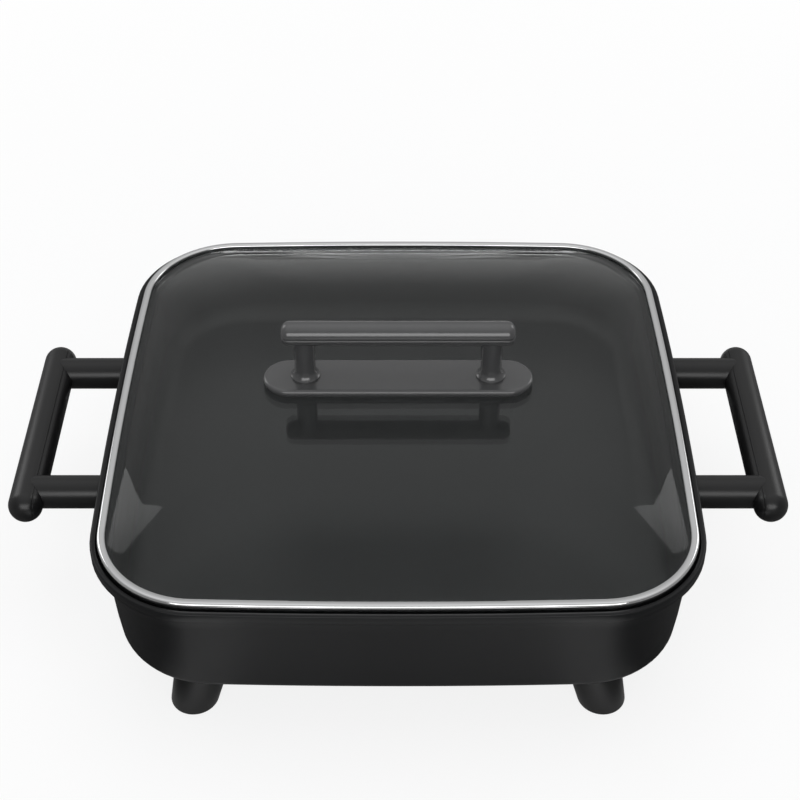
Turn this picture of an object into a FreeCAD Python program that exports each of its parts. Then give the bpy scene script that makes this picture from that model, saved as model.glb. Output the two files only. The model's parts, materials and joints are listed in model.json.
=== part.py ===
import FreeCAD, Part
import enum
import math
import os
import re

import Sketcher

# Electric hot pot with a lift-off glass lid.
# A cast pan with an inner ledge carries the lid. It stands on four moulded feet, has a grip on two round
# posts at each side, and holds a tubular heater under its floor whose pins stand in an inlet at the right.
# Lengths are millimetres. The origin is the middle of the footprint on the table, +Z is up, the front is -Y.

SIZES = {
    # Heights, from the table up
    "foot_tall": 27.4,
    "under_deep": 12.6,
    "floor_thick": 5.0,
    "cavity_deep": 50.0,
    # Pan rim, from the outside in
    "rim_half": 165.0,
    "rim_corner": 60.0,
    "side_bow": 3300.0,
    "lip_wide": 3.0,
    "lip_step": 4.0,
    "ledge_wide": 4.5,
    "shoulder_deep": 3.5,
    "band_tall": 6.0,
    "rim_round": 1.2,
    # Pan body
    "neck_inset": 7.6,
    "neck_corner": 48.0,
    "wall_draft": 1.8,
    "base_corner": 55.4,
    "base_round": 5.5,
    "wall_thick": 4.4,
    "cavity_round": 12.0,
    "skirt_thick": 7.6,
    # Clearances
    "seat_gap": 0.05,
    "fit_gap": 0.3,
    "hole_gap": 0.25,
    "screw_spare": 0.5,
    # Tubular heater in the rib under the floor
    "heater_radius": 3.3,
    "heater_inset": 51.6,
    "heater_corner": 35.0,
    "heater_bend": 14.0,
    "heater_drop": 4.5,
    "rib_wall": 3.6,
    "rib_tall": 7.0,
    # Terminal block, pins and probe well
    "block_proud": 1.4,
    "block_gap": 1.0,
    "block_wide": 68.0,
    "block_tall": 10.5,
    "block_screw_pitch": 20.0,
    "block_screw_inset": 9.0,
    "block_screw_bite": 3.0,
    "pin_pitch": 40.0,
    "pin_radius": 2.5,
    "pin_shank": 1.8,
    "pin_free": 9.0,
    "pin_round": 0.8,
    "bush_radius": 4.4,
    "bush_deep": 9.5,
    "bush_proud": 1.2,
    "probe_radius": 3.3,
    "probe_deep": 22.0,
    # Inlet guard
    "guard_wide": 72.0,
    "guard_tall": 19.0,
    "guard_deep": 15.5,
    "guard_wall": 2.2,
    "guard_back": 2.5,
    "guard_corner": 5.0,
    "guard_screw_pitch": 58.6,
    "probe_hole": 4.0,
    "earth_thick": 0.8,
    "earth_wide": 11.0,
    "earth_long": 10.0,
    "earth_foot": 2.6,
    # Reflector and base cover
    "cover_thick": 1.2,
    "cover_lip": 4.0,
    "reflector_inset": 37.6,
    "reflector_corner": 44.0,
    "reflector_thick": 0.8,
    "reflector_drop": 8.4,
    "reflector_window": 22.0,
    "pillar_radius": 6.0,
    "pillar_pitch": 124.0,
    "spacer_radius": 4.5,
    # Feet
    "foot_across_inset": 50.1,
    "foot_along_inset": 24.1,
    "foot_lean": 6.5,
    "foot_top_radius": 15.2,
    "foot_low_radius": 13.2,
    "foot_edge": 1.2,
    "foot_boss_radius": 7.0,
    "foot_screw_shift": 2.0,
    "foot_web": 12.0,
    "pad_radius": 11.2,
    "pad_proud": 0.8,
    "pad_sunk": 2.2,
    # Screws
    "screw_radius": 2.0,
    "screw_head": 3.8,
    "head_tall": 2.4,
    "screw_bite": 6.0,
    # Side grips
    "grip_out": 42.5,
    "grip_drop": 19.5,
    "grip_radius": 9.6,
    "grip_straight": 126.0,
    "grip_split": 5.2,
    "grip_wall": 3.6,
    "post_pitch": 105.0,
    "post_radius": 9.4,
    "boss_proud": 2.6,
    "boss_radius": 10.4,
    "boss_root": 6.0,
    "washer_thick": 1.0,
    "head_seat": 3.4,
    # Lid rim and glass
    "lid_gap": 1.0,
    "lid_rim_tall": 7.5,
    "lid_rim_sheet": 1.0,
    "lid_rim_wide": 4.5,
    "lid_rim_round": 0.9,
    "glass_thick": 4.0,
    "glass_hole_gap": 0.75,
    "dome_gap": 0.5,
    "dome_inset": 1.5,
    "dome_flat": 82.0,
    "dome_flat_corner": 30.0,
    "dome_rise": 16.4,
    # Lid handle
    "gasket_thick": 0.8,
    "gasket_inset": 1.5,
    "plate_long": 154.0,
    "plate_wide": 30.0,
    "plate_thick": 4.0,
    "plate_round": 1.0,
    "lid_post_pitch": 105.5,
    "lid_post_radius": 6.0,
    "lid_post_foot": 8.35,
    "lid_post_skirt": 1.2,
    "lid_post_flare": 5.0,
    "bar_high": 30.0,
    "bar_radius": 7.1,
    "bar_long": 131.0,
    "bar_round": 4.6,
    "peg_radius": 2.0,
    "peg_tall": 2.5,
    "peg_pitch": 60.0,
    "lid_washer_radius": 8.0,
    "lid_washer_thick": 1.0,
    "lid_screw_bite": 4.0,
}

# Sizes and places that follow from the driving ones
PLACES = {
    "floor_low": "foot_tall + under_deep",
    "floor_top": "floor_low + floor_thick",
    "rim_top": "floor_top + cavity_deep",
    "band_low": "rim_top - band_tall",
    "ledge_top": "rim_top - lip_step",
    "ledge_edge": "lip_wide + ledge_wide",
    "shoulder_low": "ledge_top - shoulder_deep",
    "neck_half": "rim_half - neck_inset",
    "base_half": "neck_half - wall_draft",
    "recess_half": "base_half - skirt_thick",
    "recess_corner": "base_corner - skirt_thick",
    "heater_half": "base_half - heater_inset",
    "heater_high": "floor_low - heater_drop",
    "heater_end": "block_face - bush_deep",
    "block_face": "base_half + block_proud",
    "block_start": "reflector_half + block_gap",
    "block_low": "floor_low - block_tall",
    "block_screw_across": "block_start + block_screw_inset",
    "bush_face": "block_face + guard_back + bush_proud",
    "cover_top": "foot_tall + cover_thick",
    "reflector_half": "base_half - reflector_inset",
    "reflector_top": "floor_low - reflector_drop",
    "reflector_low": "reflector_top - reflector_thick",
    "pillar_place": "pillar_pitch / 2",
    "foot_across": "base_half - foot_across_inset",
    "foot_along": "base_half - foot_along_inset",
    "foot_screw_across": "foot_across + foot_screw_shift",
    "foot_screw_along": "foot_along + foot_screw_shift",
    "clear_hole": "screw_radius + hole_gap",
    "tapped_hole": "screw_radius + seat_gap",
    "head_bore": "screw_head + hole_gap",
    "boss_face": "neck_half + boss_proud",
    "grip_reach": "rim_half + grip_out",
    "grip_high": "rim_top - grip_drop",
    "lid_half": "rim_half - lip_wide - lid_gap",
    "lid_corner": "rim_corner - lip_wide - lid_gap",
    "lid_bow": "side_bow - lip_wide - lid_gap",
    "glass_low": "ledge_top + lid_rim_sheet + seat_gap",
    "glass_edge_top": "glass_low + glass_thick",
    "glass_under": "glass_low + dome_rise",
    "glass_top": "glass_edge_top + dome_rise",
    "dome_start": "lid_half - lid_rim_wide - dome_gap",
    "dome_corner": "lid_corner - lid_half + dome_start",
    "plate_low": "glass_top + gasket_thick",
    "plate_top": "plate_low + plate_thick",
    "bar_axis": "plate_top + bar_high",
}

DOME_STEPS = 4
TINY = 1e-6
FLAT = 0.01
UP = FreeCAD.Vector(0, 0, 1)
ORIGIN, AXIS_ACROSS, AXIS_ALONG = -1, -1, -2
TURN_TO = {
    "+Z": FreeCAD.Rotation(),
    "+X": FreeCAD.Rotation(FreeCAD.Vector(0, 1, 0), 90),
    "-X": FreeCAD.Rotation(FreeCAD.Vector(0, 1, 0), -90),
    "+Y": FreeCAD.Rotation(FreeCAD.Vector(1, 0, 0), -90),
}



class Spot(enum.IntEnum):
    """The named points of a sketch's lines and arcs."""

    START = 1
    END = 2
    CENTRE = 3


doc = FreeCAD.newDocument("hot_pot")
sheet = doc.addObject("Spreadsheet::Sheet", "Sizes")
nodes = []


def fill_sheet():
    """Writes every driving size into the sheet, with its name as the alias."""
    for row, (name, value) in enumerate(SIZES.items(), start=1):
        sheet.set("A%d" % row, name)
        sheet.set("B%d" % row, str(value))
        sheet.setAlias("B%d" % row, name)
    doc.recompute()


def full(rule):
    """Writes a rule out in driving sizes alone, each with the sheet's name before it."""
    def spell(word):
        name = word.group()
        return "(%s)" % full(PLACES[name]) if name in PLACES else "Sizes." + name
    return re.sub(r"[a-z][a-z_]+", spell, rule)


def size(rule):
    """Works out a rule as a number."""
    return float(sheet.evalExpression(full(rule)))


def bind(thing, **rules):
    """Ties properties of an object to rules on the sheet."""
    for name, rule in rules.items():
        thing.setExpression(name, full(rule))


def put(thing, across="0", along="0", high="0", turn=None):
    """Places an object by three rules, after an optional turn."""
    if turn is not None:
        thing.Placement = FreeCAD.Placement(FreeCAD.Vector(), turn)
    for name, rule in (("x", across), ("y", along), ("z", high)):
        thing.setExpression(".Placement.Base." + name, full(rule))


def node(thing, label):
    """Gives a finished sub-part its name and adds it to the list that is written."""
    thing.Label = label
    nodes.append(thing)
    return thing


# Sketches

def new_sketch(body, name, plane="XY_Plane", offset="0"):
    """Starts a sketch on one of the body's origin planes, moved along its normal by a rule."""
    sketch = body.newObject("Sketcher::SketchObject", name)
    support = [part for part in body.Origin.OriginFeatures if part.Role == plane][0]
    sketch.AttachmentSupport = [(support, "")]
    sketch.MapMode = "FlatFace"
    sketch.setExpression(".AttachmentOffset.Base.z", full(offset))
    return sketch


def hold(sketch, kind, rule, *places):
    """Adds a constraint whose value is a rule."""
    index = sketch.addConstraint(Sketcher.Constraint(kind, *places, size(rule)))
    sketch.setExpression("Constraints[%d]" % index, full(rule))


def locate(sketch, piece, point, across, along):
    """Holds one point of a sketch at a place given by two rules."""
    for kind, rule, axis in (("DistanceX", across, AXIS_ALONG), ("DistanceY", along, AXIS_ACROSS)):
        value = size(rule)
        if abs(value) < TINY:
            sketch.addConstraint(Sketcher.Constraint("PointOnObject", piece, point, axis))
        elif value > 0:
            hold(sketch, kind, rule, ORIGIN, Spot.START, piece, point)
        else:
            hold(sketch, kind, "-(" + rule + ")", piece, point, ORIGIN, Spot.START)


def draw_circle(sketch, radius, across="0", along="0"):
    """Draws a circle at a place."""
    centre = FreeCAD.Vector(size(across), size(along), 0)
    piece = sketch.addGeometry(Part.Circle(centre, UP, size(radius)))
    hold(sketch, "Radius", radius, piece)
    locate(sketch, piece, Spot.CENTRE, across, along)


def draw_outline(sketch, corners):
    """Draws straight lines through corners given as pairs of rules, and closes them."""
    spots = [FreeCAD.Vector(size(across), size(along), 0) for across, along in corners]
    first = sketch.GeometryCount
    count = len(spots)
    for index in range(count):
        sketch.addGeometry(Part.LineSegment(spots[index], spots[(index + 1) % count]))
    for index in range(count):
        after = first + (index + 1) % count
        sketch.addConstraint(Sketcher.Constraint("Coincident", first + index, Spot.END, after, Spot.START))
    for index, (across, along) in enumerate(corners):
        locate(sketch, first + index, Spot.START, across, along)


def draw_box(sketch, low, high):
    """Draws a rectangle between two corners."""
    draw_outline(sketch, [(low[0], low[1]), (high[0], low[1]), (high[0], high[1]), (low[0], high[1])])


def draw_rounded_box(sketch, half_across, half_along, corner, along="0"):
    """Draws a rectangle with rounded corners about a centre on the sketch's upright axis."""
    across_in = size(half_across) - size(corner)
    along_in = size(half_along) - size(corner)
    middle = size(along)
    radius = size(corner)
    first = sketch.GeometryCount
    quarters = [(1, -1), (1, 1), (-1, 1), (-1, -1)]
    for index, (right, up) in enumerate(quarters):
        centre = FreeCAD.Vector(right * across_in, middle + up * along_in, 0)
        stop = index * math.pi / 2
        sketch.addGeometry(Part.ArcOfCircle(Part.Circle(centre, UP, radius), stop - math.pi / 2, stop))
        after = quarters[(index + 1) % 4]
        reach = FreeCAD.Vector(math.cos(stop), math.sin(stop), 0) * radius
        goal = FreeCAD.Vector(after[0] * across_in, middle + after[1] * along_in, 0)
        sketch.addGeometry(Part.LineSegment(centre + reach, goal + reach))
    for index in range(8):
        after = first + (index + 1) % 8
        sketch.addConstraint(Sketcher.Constraint("Tangent", first + index, Spot.END, after, Spot.START))
    for index, (right, up) in enumerate(quarters):
        arc = first + 2 * index
        if index in (0, 2):
            hold(sketch, "Radius", corner, arc)
            locate(sketch, arc, Spot.CENTRE, "%d * (%s - %s)" % (right, half_across, corner),
                   "%s + %d * (%s - %s)" % (along, up, half_along, corner))


def draw_bowed_square(sketch, half, corner, bow):
    """Draws a square with rounded corners and sides that bow out a little, about the origin."""
    side, radius = size(bow), size(corner)
    reach = side - size(half)
    middle = (math.sqrt(2 * (side - radius) ** 2 - reach ** 2) - reach) / 2
    lean = math.atan2(middle, middle + reach)
    first = sketch.GeometryCount
    for quarter in range(4):
        turn = quarter * math.pi / 2
        spin = FreeCAD.Rotation(UP, math.degrees(turn))
        side_arc = Part.Circle(spin.multVec(FreeCAD.Vector(-reach, 0, 0)), UP, side)
        corner_arc = Part.Circle(spin.multVec(FreeCAD.Vector(middle, middle, 0)), UP, radius)
        sketch.addGeometry(Part.ArcOfCircle(side_arc, turn - lean, turn + lean))
        sketch.addGeometry(Part.ArcOfCircle(corner_arc, turn + lean, turn + math.pi / 2 - lean))
    for index in range(8):
        after = first + (index + 1) % 8
        sketch.addConstraint(Sketcher.Constraint("Tangent", first + index, Spot.END, after, Spot.START))
    for quarter, (right, up) in enumerate([(-1, 0), (0, -1), (1, 0), (0, 1)]):
        arc = first + 2 * quarter
        hold(sketch, "Radius", bow, arc)
        hold(sketch, "Radius", corner, arc + 1)
        locate(sketch, arc, Spot.CENTRE, *("%d * (%s - %s)" % (way, bow, half) for way in (right, up)))


def draw_inset_square(sketch, half, corner, bow, inset):
    """Draws a bowed square a set distance inside another."""
    draw_bowed_square(sketch, *("(%s - %s)" % (rule, inset) for rule in (half, corner, bow)))


def draw_stadium(sketch, half_long, radius):
    """Draws a slot shape along the first axis."""
    inner = size(half_long) - size(radius)
    first = sketch.GeometryCount
    for right, start in ((1, -math.pi / 2), (-1, math.pi / 2)):
        circle = Part.Circle(FreeCAD.Vector(right * inner, 0, 0), UP, size(radius))
        sketch.addGeometry(Part.ArcOfCircle(circle, start, start + math.pi))
        edge = FreeCAD.Vector(right * inner, right * size(radius), 0)
        sketch.addGeometry(Part.LineSegment(edge, edge - FreeCAD.Vector(2 * right * inner, 0, 0)))
    for index in range(4):
        after = first + (index + 1) % 4
        sketch.addConstraint(Sketcher.Constraint("Tangent", first + index, Spot.END, after, Spot.START))
    hold(sketch, "Radius", radius, first)
    locate(sketch, first, Spot.CENTRE, "%s - %s" % (half_long, radius), "0")
    locate(sketch, first + 2, Spot.CENTRE, "-(%s - %s)" % (half_long, radius), "0")


# Features

def new_body(name):
    """Starts a body."""
    return doc.addObject("PartDesign::Body", name)


def volume(body):
    """The body's volume so far, nothing before its first feature."""
    return body.Shape.Volume if not body.Shape.isNull() else 0.0


def settle(body, feature, before, grows):
    """Recomputes and stops if a feature did not add or take away material as meant."""
    doc.recompute()
    if "Invalid" in feature.State or "Error" in feature.State:
        raise RuntimeError("%s of %s failed" % (feature.Label, body.Label))
    change = volume(body) - before
    if (change <= 0) == grows:
        raise RuntimeError("%s of %s changed the volume by %.3f" % (feature.Label, body.Label, change))
    return feature


def extrude(body, sketch, length, kind="Pad", backwards=False, both=False):
    """Pads or pockets a sketch by a rule."""
    before = volume(body)
    feature = body.newObject("PartDesign::" + kind, kind)
    feature.Profile = sketch
    feature.Reversed = backwards
    if both:
        feature.Midplane = True
    bind(feature, Length=length)
    return settle(body, feature, before, kind == "Pad")


def rounds(body, name, radius, places, length, kind="Pocket", plane="XY_Plane", offset="0", backwards=True):
    """Pads or pockets circles at several places."""
    sketch = new_sketch(body, name, plane, offset)
    for across, along in places:
        draw_circle(sketch, radius, across, along)
    return extrude(body, sketch, length, kind, backwards)


def loft(body, sketches, kind="AdditiveLoft", ruled=True):
    """Lofts through sketches, to add or to take away."""
    before = volume(body)
    feature = body.newObject("PartDesign::" + kind, kind)
    feature.Profile = sketches[0]
    feature.Sections = sketches[1:]
    feature.Ruled = ruled
    return settle(body, feature, before, kind == "AdditiveLoft")


def round_edges(body, radius, chosen):
    """Rounds the edges of the body's tip that a test picks."""
    doc.recompute()
    tip = body.Tip
    names = ["Edge%d" % (index + 1) for index, edge in enumerate(tip.Shape.Edges) if chosen(edge)]
    if not names:
        raise RuntimeError("no edge to round on " + body.Label)
    feature = body.newObject("PartDesign::Fillet", "Fillet")
    feature.Base = (tip, names)
    bind(feature, Radius=radius)
    doc.recompute()
    if "Invalid" in feature.State or not feature.Shape.isValid():
        raise RuntimeError("rounding failed on " + body.Label)
    return feature


def level(edge, high):
    """True for an edge that lies flat at a height."""
    box = edge.BoundBox
    return abs(box.ZMin - high) < FLAT and abs(box.ZMax - high) < FLAT


# Places

def corners(across, along):
    """Four places at the corners of a rectangle about the middle."""
    return [("%d * %s" % (right, across), "%d * %s" % (up, along)) for up in (-1, 1) for right in (-1, 1)]


def across_pair(pitch):
    """Two places on the first axis, half a pitch to either side."""
    return [("%d * %s / 2" % (right, pitch), "0") for right in (-1, 1)]


def along_pair(pitch, high):
    """Two places at a height, half a pitch to either side."""
    return [("%d * %s / 2" % (up, pitch), high) for up in (-1, 1)]


# Primitives and groups

def cylinder(name, radius, tall, across="0", along="0", high="0", axis="+Z"):
    """Makes a cylinder that starts at a place and runs along an axis."""
    piece = doc.addObject("Part::Cylinder", name)
    bind(piece, Radius=radius, Height=tall)
    put(piece, across, along, high, TURN_TO[axis])
    return piece


def ring(name, outer, inner, tall, across="0", along="0", high="0", axis="+Z"):
    """Makes a tube that starts at a place and runs along an axis."""
    return combine("Cut", name, cylinder(name + "_form", outer, tall, across, along, high, axis),
                   cylinder(name + "_bore", inner, tall, across, along, high, axis))


def box(name, low, high):
    """Makes a box between two corners given as rules."""
    piece = doc.addObject("Part::Box", name)
    for prop, start, end in zip(("Length", "Width", "Height"), low, high):
        bind(piece, **{prop: "(%s) - (%s)" % (end, start)})
    put(piece, *low)
    return piece


def combine(kind, name, first, *others):
    """Fuses, cuts or intersects shapes."""
    piece = doc.addObject("Part::" + kind, name)
    if kind in ("MultiFuse", "Compound"):
        setattr(piece, "Shapes" if kind == "MultiFuse" else "Links", [first, *others])
    else:
        piece.Base = first
        piece.Tool = others[0]
    return piece


def cut_all(name, base, tools):
    """Cuts several tools out of a base in one go."""
    tool = tools[0] if len(tools) == 1 else combine("MultiFuse", name + "_tools", *tools)
    return combine("Cut", name, base, tool)


def screw(name, length, across, along, high, axis="+Z"):
    """Makes a screw whose head starts at a place, with its shank beyond the head along the axis."""
    shift = {"+Z": (0, 0, 1), "+X": (1, 0, 0), "-X": (-1, 0, 0)}[axis]
    start = ["%s + %d * head_tall" % (rule, step) for rule, step in zip((across, along, high), shift)]
    head = cylinder(name + "_head", "screw_head", "head_tall", across, along, high, axis)
    shank = cylinder(name + "_shank", "screw_radius", length, *start, axis)
    return combine("MultiFuse", name, head, shank)


# The pan

def pan_shell(body):
    """Casts the outer form: the tapered body and the rim band round its top."""
    low = new_sketch(body, "BodyLow", offset="foot_tall")
    draw_bowed_square(low, "base_half", "base_corner", "side_bow")
    high = new_sketch(body, "BodyHigh", offset="band_low")
    draw_bowed_square(high, "neck_half", "neck_corner", "side_bow")
    loft(body, [high, low])
    round_edges(body, "base_round", lambda edge: level(edge, size("foot_tall")))
    band = new_sketch(body, "Band", offset="band_low")
    draw_bowed_square(band, "rim_half", "rim_corner", "side_bow")
    extrude(body, band, "band_tall")
    round_edges(body, "rim_round", lambda edge: level(edge, size("rim_top")))


def pan_hollow(body):
    """Cuts the lid's step, the sloping shoulder and the cavity with its rounded bottom."""
    step = new_sketch(body, "Step", offset="ledge_top")
    draw_inset_square(step, "rim_half", "rim_corner", "side_bow", "lip_wide")
    extrude(body, step, "lip_step", "Pocket", backwards=True)
    edge = new_sketch(body, "LedgeEdge", offset="ledge_top")
    draw_inset_square(edge, "rim_half", "rim_corner", "side_bow", "ledge_edge")
    wall = new_sketch(body, "WallTop", offset="shoulder_low")
    draw_inset_square(wall, "neck_half", "neck_corner", "side_bow", "wall_thick")
    loft(body, [edge, wall], "SubtractiveLoft")
    mouth = new_sketch(body, "Mouth", offset="shoulder_low")
    draw_inset_square(mouth, "neck_half", "neck_corner", "side_bow", "wall_thick")
    floor = new_sketch(body, "Floor", offset="floor_top")
    draw_inset_square(floor, "base_half", "base_corner", "side_bow", "wall_thick")
    loft(body, [mouth, floor], "SubtractiveLoft")
    round_edges(body, "cavity_round", lambda edge: level(edge, size("floor_top")))


def pan_underside(body):
    """Opens the recess under the floor and stands the heater rib and the screw bosses in it."""
    recess = new_sketch(body, "Recess", offset="foot_tall")
    draw_inset_square(recess, "base_half", "base_corner", "side_bow", "skirt_thick")
    extrude(body, recess, "floor_low - foot_tall", "Pocket", backwards=True)
    rib = new_sketch(body, "Rib", offset="floor_low")
    for side in ("+", "-"):
        half = "(heater_half %s (heater_radius + rib_wall))" % side
        draw_rounded_box(rib, half, half, "(heater_corner %s (heater_radius + rib_wall))" % side)
    extrude(body, rib, "rib_tall", backwards=True)
    rounds(body, "Pillars", "pillar_radius", corners("pillar_place", "pillar_place"), "reflector_drop", "Pad",
           offset="reflector_top", backwards=False)
    rounds(body, "FootBosses", "foot_boss_radius", corners("foot_screw_across", "foot_screw_along"),
           "floor_low - cover_top", "Pad", offset="cover_top", backwards=False)


def pan_sides(body):
    """Opens the skirt for the terminal block and adds the bosses that carry the grips."""
    notch = new_sketch(body, "Notch", "YZ_Plane", "block_face")
    draw_box(notch, ("-block_wide / 2 - fit_gap", "foot_tall - block_gap"),
             ("block_wide / 2 + fit_gap", "floor_low"))
    extrude(body, notch, "block_face - recess_half + block_gap", "Pocket")
    for right in (1, -1):
        rounds(body, "GripBosses", "boss_radius", along_pair("post_pitch", "grip_high"), "boss_root", "Pad",
               "YZ_Plane", "%d * boss_face" % right, backwards=right > 0)


def pan_holes(body):
    """Drills the tapped holes for the cover, the feet, the terminal block and the grips."""
    rounds(body, "PillarHoles", "tapped_hole", corners("pillar_place", "pillar_place"), "reflector_drop",
           offset="reflector_top")
    rounds(body, "FootHoles", "tapped_hole", corners("foot_screw_across", "foot_screw_along"),
           "screw_bite + screw_spare", offset="cover_top")
    places = [("block_screw_across", along) for along, high in along_pair("block_screw_pitch", "floor_low")]
    rounds(body, "BlockHoles", "tapped_hole", places, "block_screw_bite", offset="floor_low")
    for right in (1, -1):
        rounds(body, "GripHoles", "tapped_hole", along_pair("post_pitch", "grip_high"), "screw_bite",
               plane="YZ_Plane", offset="%d * boss_face" % right, backwards=right < 0)


def heater_path(body):
    """Draws the heater's route: in from one pin, once round the floor and out to the other."""
    path = new_sketch(body, "HeaterPath", offset="heater_high")
    half, corner, bend = size("heater_half"), size("heater_corner"), size("heater_bend")
    pin, end = size("pin_pitch / 2"), size("heater_end")
    inner = half - corner
    spots = [(end, -pin), (half + bend, -pin), (half, -pin - bend), (half, -inner), (inner, -half),
             (-inner, -half), (-half, -inner), (-half, inner), (-inner, half), (inner, half),
             (half, inner), (half, pin + bend), (half + bend, pin), (end, pin)]
    centres = {1: (half + bend, -pin - bend), 3: (inner, -inner), 5: (-inner, -inner), 7: (-inner, inner),
               9: (inner, inner), 11: (half + bend, pin + bend)}
    for index in range(len(spots) - 1):
        start, stop = FreeCAD.Vector(*spots[index], 0), FreeCAD.Vector(*spots[index + 1], 0)
        if index not in centres:
            path.addGeometry(Part.LineSegment(start, stop))
            continue
        centre = FreeCAD.Vector(*centres[index], 0)
        bulge = (start + stop) * 0.5 - centre
        mid = centre + bulge.normalize() * (start - centre).Length
        path.addGeometry(Part.Arc(start, mid, stop))
    return path


def sweep(body, path, radius, kind):
    """Runs a round section along a path, to add or to take away."""
    before = volume(body)
    section = new_sketch(body, "Section", "YZ_Plane", "heater_end")
    draw_circle(section, radius, "-pin_pitch / 2", "heater_high")
    feature = body.newObject("PartDesign::" + kind, kind)
    feature.Profile = section
    feature.Spine = path
    return settle(body, feature, before, kind == "AdditivePipe")


def make_pan():
    """Makes the cast pan."""
    body = new_body("pan")
    pan_shell(body)
    pan_hollow(body)
    pan_underside(body)
    pan_sides(body)
    sweep(body, heater_path(body), "heater_radius + seat_gap", "SubtractivePipe")
    pan_holes(body)
    node(body, "pan")


# Heater, terminals and inlet

def make_heater():
    """Makes the tubular heater that lies in the pan's rib."""
    body = new_body("heating_element")
    sweep(body, heater_path(body), "heater_radius", "AdditivePipe")
    node(body, "heating_element")


def make_terminal_block():
    """Makes the cast block under the floor that holds the heater's ends, the pins and the probe well."""
    body = new_body("terminal_block")
    form = new_sketch(body, "Form", "YZ_Plane", "block_face")
    draw_box(form, ("-block_wide / 2", "block_low"), ("block_wide / 2", "floor_low"))
    extrude(body, form, "block_face - block_start", backwards=True)
    pins = along_pair("pin_pitch", "heater_high")
    guard_screws = along_pair("guard_screw_pitch", "heater_high")
    for name, radius, places, depth, start in (
            ("BushBores", "bush_radius + seat_gap", pins, "bush_deep", "block_face"),
            ("HeaterBores", "heater_radius + seat_gap", pins, "heater_end - block_start", "heater_end"),
            ("ProbeWell", "probe_radius", [("0", "heater_high")], "probe_deep", "block_face"),
            ("GuardHoles", "tapped_hole", guard_screws, "screw_bite", "block_face")):
        rounds(body, name, radius, places, depth, plane="YZ_Plane", offset=start, backwards=False)
    places = [("block_screw_across", along) for along, high in along_pair("block_screw_pitch", "block_low")]
    rounds(body, "HeadBores", "head_bore", places, "head_tall", offset="block_low")
    rounds(body, "ScrewHoles", "clear_hole", places, "block_tall", offset="block_low")
    node(body, "terminal_block")
    length = "block_tall - head_tall + block_screw_bite - screw_spare"
    screws = [screw("block_screw_%d" % index, length, across, along, "block_low")
              for index, (across, along) in enumerate(places)]
    node(combine("Compound", "block_screws", *screws), "terminal_block_screws")


def make_pins():
    """Makes the two terminal pins and the ceramic bushes that hold them in the block."""
    pins, bushes = [], []
    shank_long = "bush_face - heater_end"
    for index, (along, high) in enumerate(along_pair("pin_pitch", "heater_high")):
        shank = cylinder("pin_shank_%d" % index, "pin_shank", shank_long, "heater_end", along, high, "+X")
        free = cylinder("pin_free_%d" % index, "pin_radius", "pin_free", "bush_face", along, high, "+X")
        tip = doc.addObject("Part::Cone", "pin_tip_%d" % index)
        bind(tip, Radius1="pin_radius", Radius2="pin_radius - pin_round", Height="pin_round")
        put(tip, "bush_face + pin_free", along, high, TURN_TO["+X"])
        pins.append(combine("MultiFuse", "pin_%d" % index, shank, free, tip))
        bushes.append(ring("bush_%d" % index, "bush_radius", "pin_shank + seat_gap", shank_long, "heater_end",
                           along, high, "+X"))
    node(combine("Compound", "pins", *pins), "terminal_pins")
    node(combine("Compound", "bushes", *bushes), "terminal_insulators")


def make_guard():
    """Makes the shroud round the pins, open to the right, on a drilled back wall."""
    body = new_body("inlet_guard")
    back = new_sketch(body, "Back", "YZ_Plane", "block_face")
    draw_rounded_box(back, "(guard_wide / 2)", "(guard_tall / 2)", "guard_corner", "heater_high")
    extrude(body, back, "guard_deep")
    mouth = new_sketch(body, "Mouth", "YZ_Plane", "block_face + guard_deep")
    draw_rounded_box(mouth, "(guard_wide / 2 - guard_wall)", "(guard_tall / 2 - guard_wall)",
                     "(guard_corner - guard_wall)", "heater_high")
    extrude(body, mouth, "guard_deep - guard_back", "Pocket")
    pins = along_pair("pin_pitch", "heater_high")
    screw_places = along_pair("guard_screw_pitch", "heater_high")
    for name, radius, places in (("ProbeHole", "probe_hole", [("0", "heater_high")]),
                                 ("BushHoles", "bush_radius + seat_gap", pins),
                                 ("ScrewHoles", "clear_hole", screw_places)):
        rounds(body, name, radius, places, "guard_back", plane="YZ_Plane", offset="block_face + guard_back",
               backwards=False)
    node(body, "inlet_guard")
    length = "guard_back + screw_bite - screw_spare"
    start = "block_face + guard_back + head_tall"
    screws = [screw("guard_screw_%d" % index, length, start, along, high, "-X")
              for index, (along, high) in enumerate(screw_places)]
    node(combine("Compound", "guard_screws", *screws), "inlet_guard_screws")


def make_earth_contact():
    """Makes the bent earth strip under the guard's top wall."""
    back = "block_face + guard_back"
    under = "heater_high + guard_tall / 2 - guard_wall"
    foot = box("earth_foot_box", (back, "-earth_wide / 2", under + " - earth_foot"),
               (back + " + earth_thick", "earth_wide / 2", under))
    tongue = box("earth_tongue", (back, "-earth_wide / 2", under + " - earth_thick"),
                 (back + " + earth_long", "earth_wide / 2", under))
    node(combine("MultiFuse", "earth", foot, tongue), "earth_contact")


# Base

def make_reflector():
    """Makes the heat reflector and the spacers that hold it off the base cover."""
    body = new_body("heat_reflector")
    plate = new_sketch(body, "Plate", offset="reflector_low")
    draw_rounded_box(plate, "reflector_half", "reflector_half", "reflector_corner")
    draw_circle(plate, "reflector_window")
    places = corners("pillar_place", "pillar_place")
    for across, along in places:
        draw_circle(plate, "clear_hole", across, along)
    extrude(body, plate, "reflector_thick")
    node(body, "heat_reflector")
    tall = "reflector_low - cover_top"
    spacers = [ring("spacer_%d" % index, "spacer_radius", "clear_hole", tall, across, along, "cover_top")
               for index, (across, along) in enumerate(places)]
    node(combine("Compound", "spacers", *spacers), "reflector_spacers")


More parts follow.
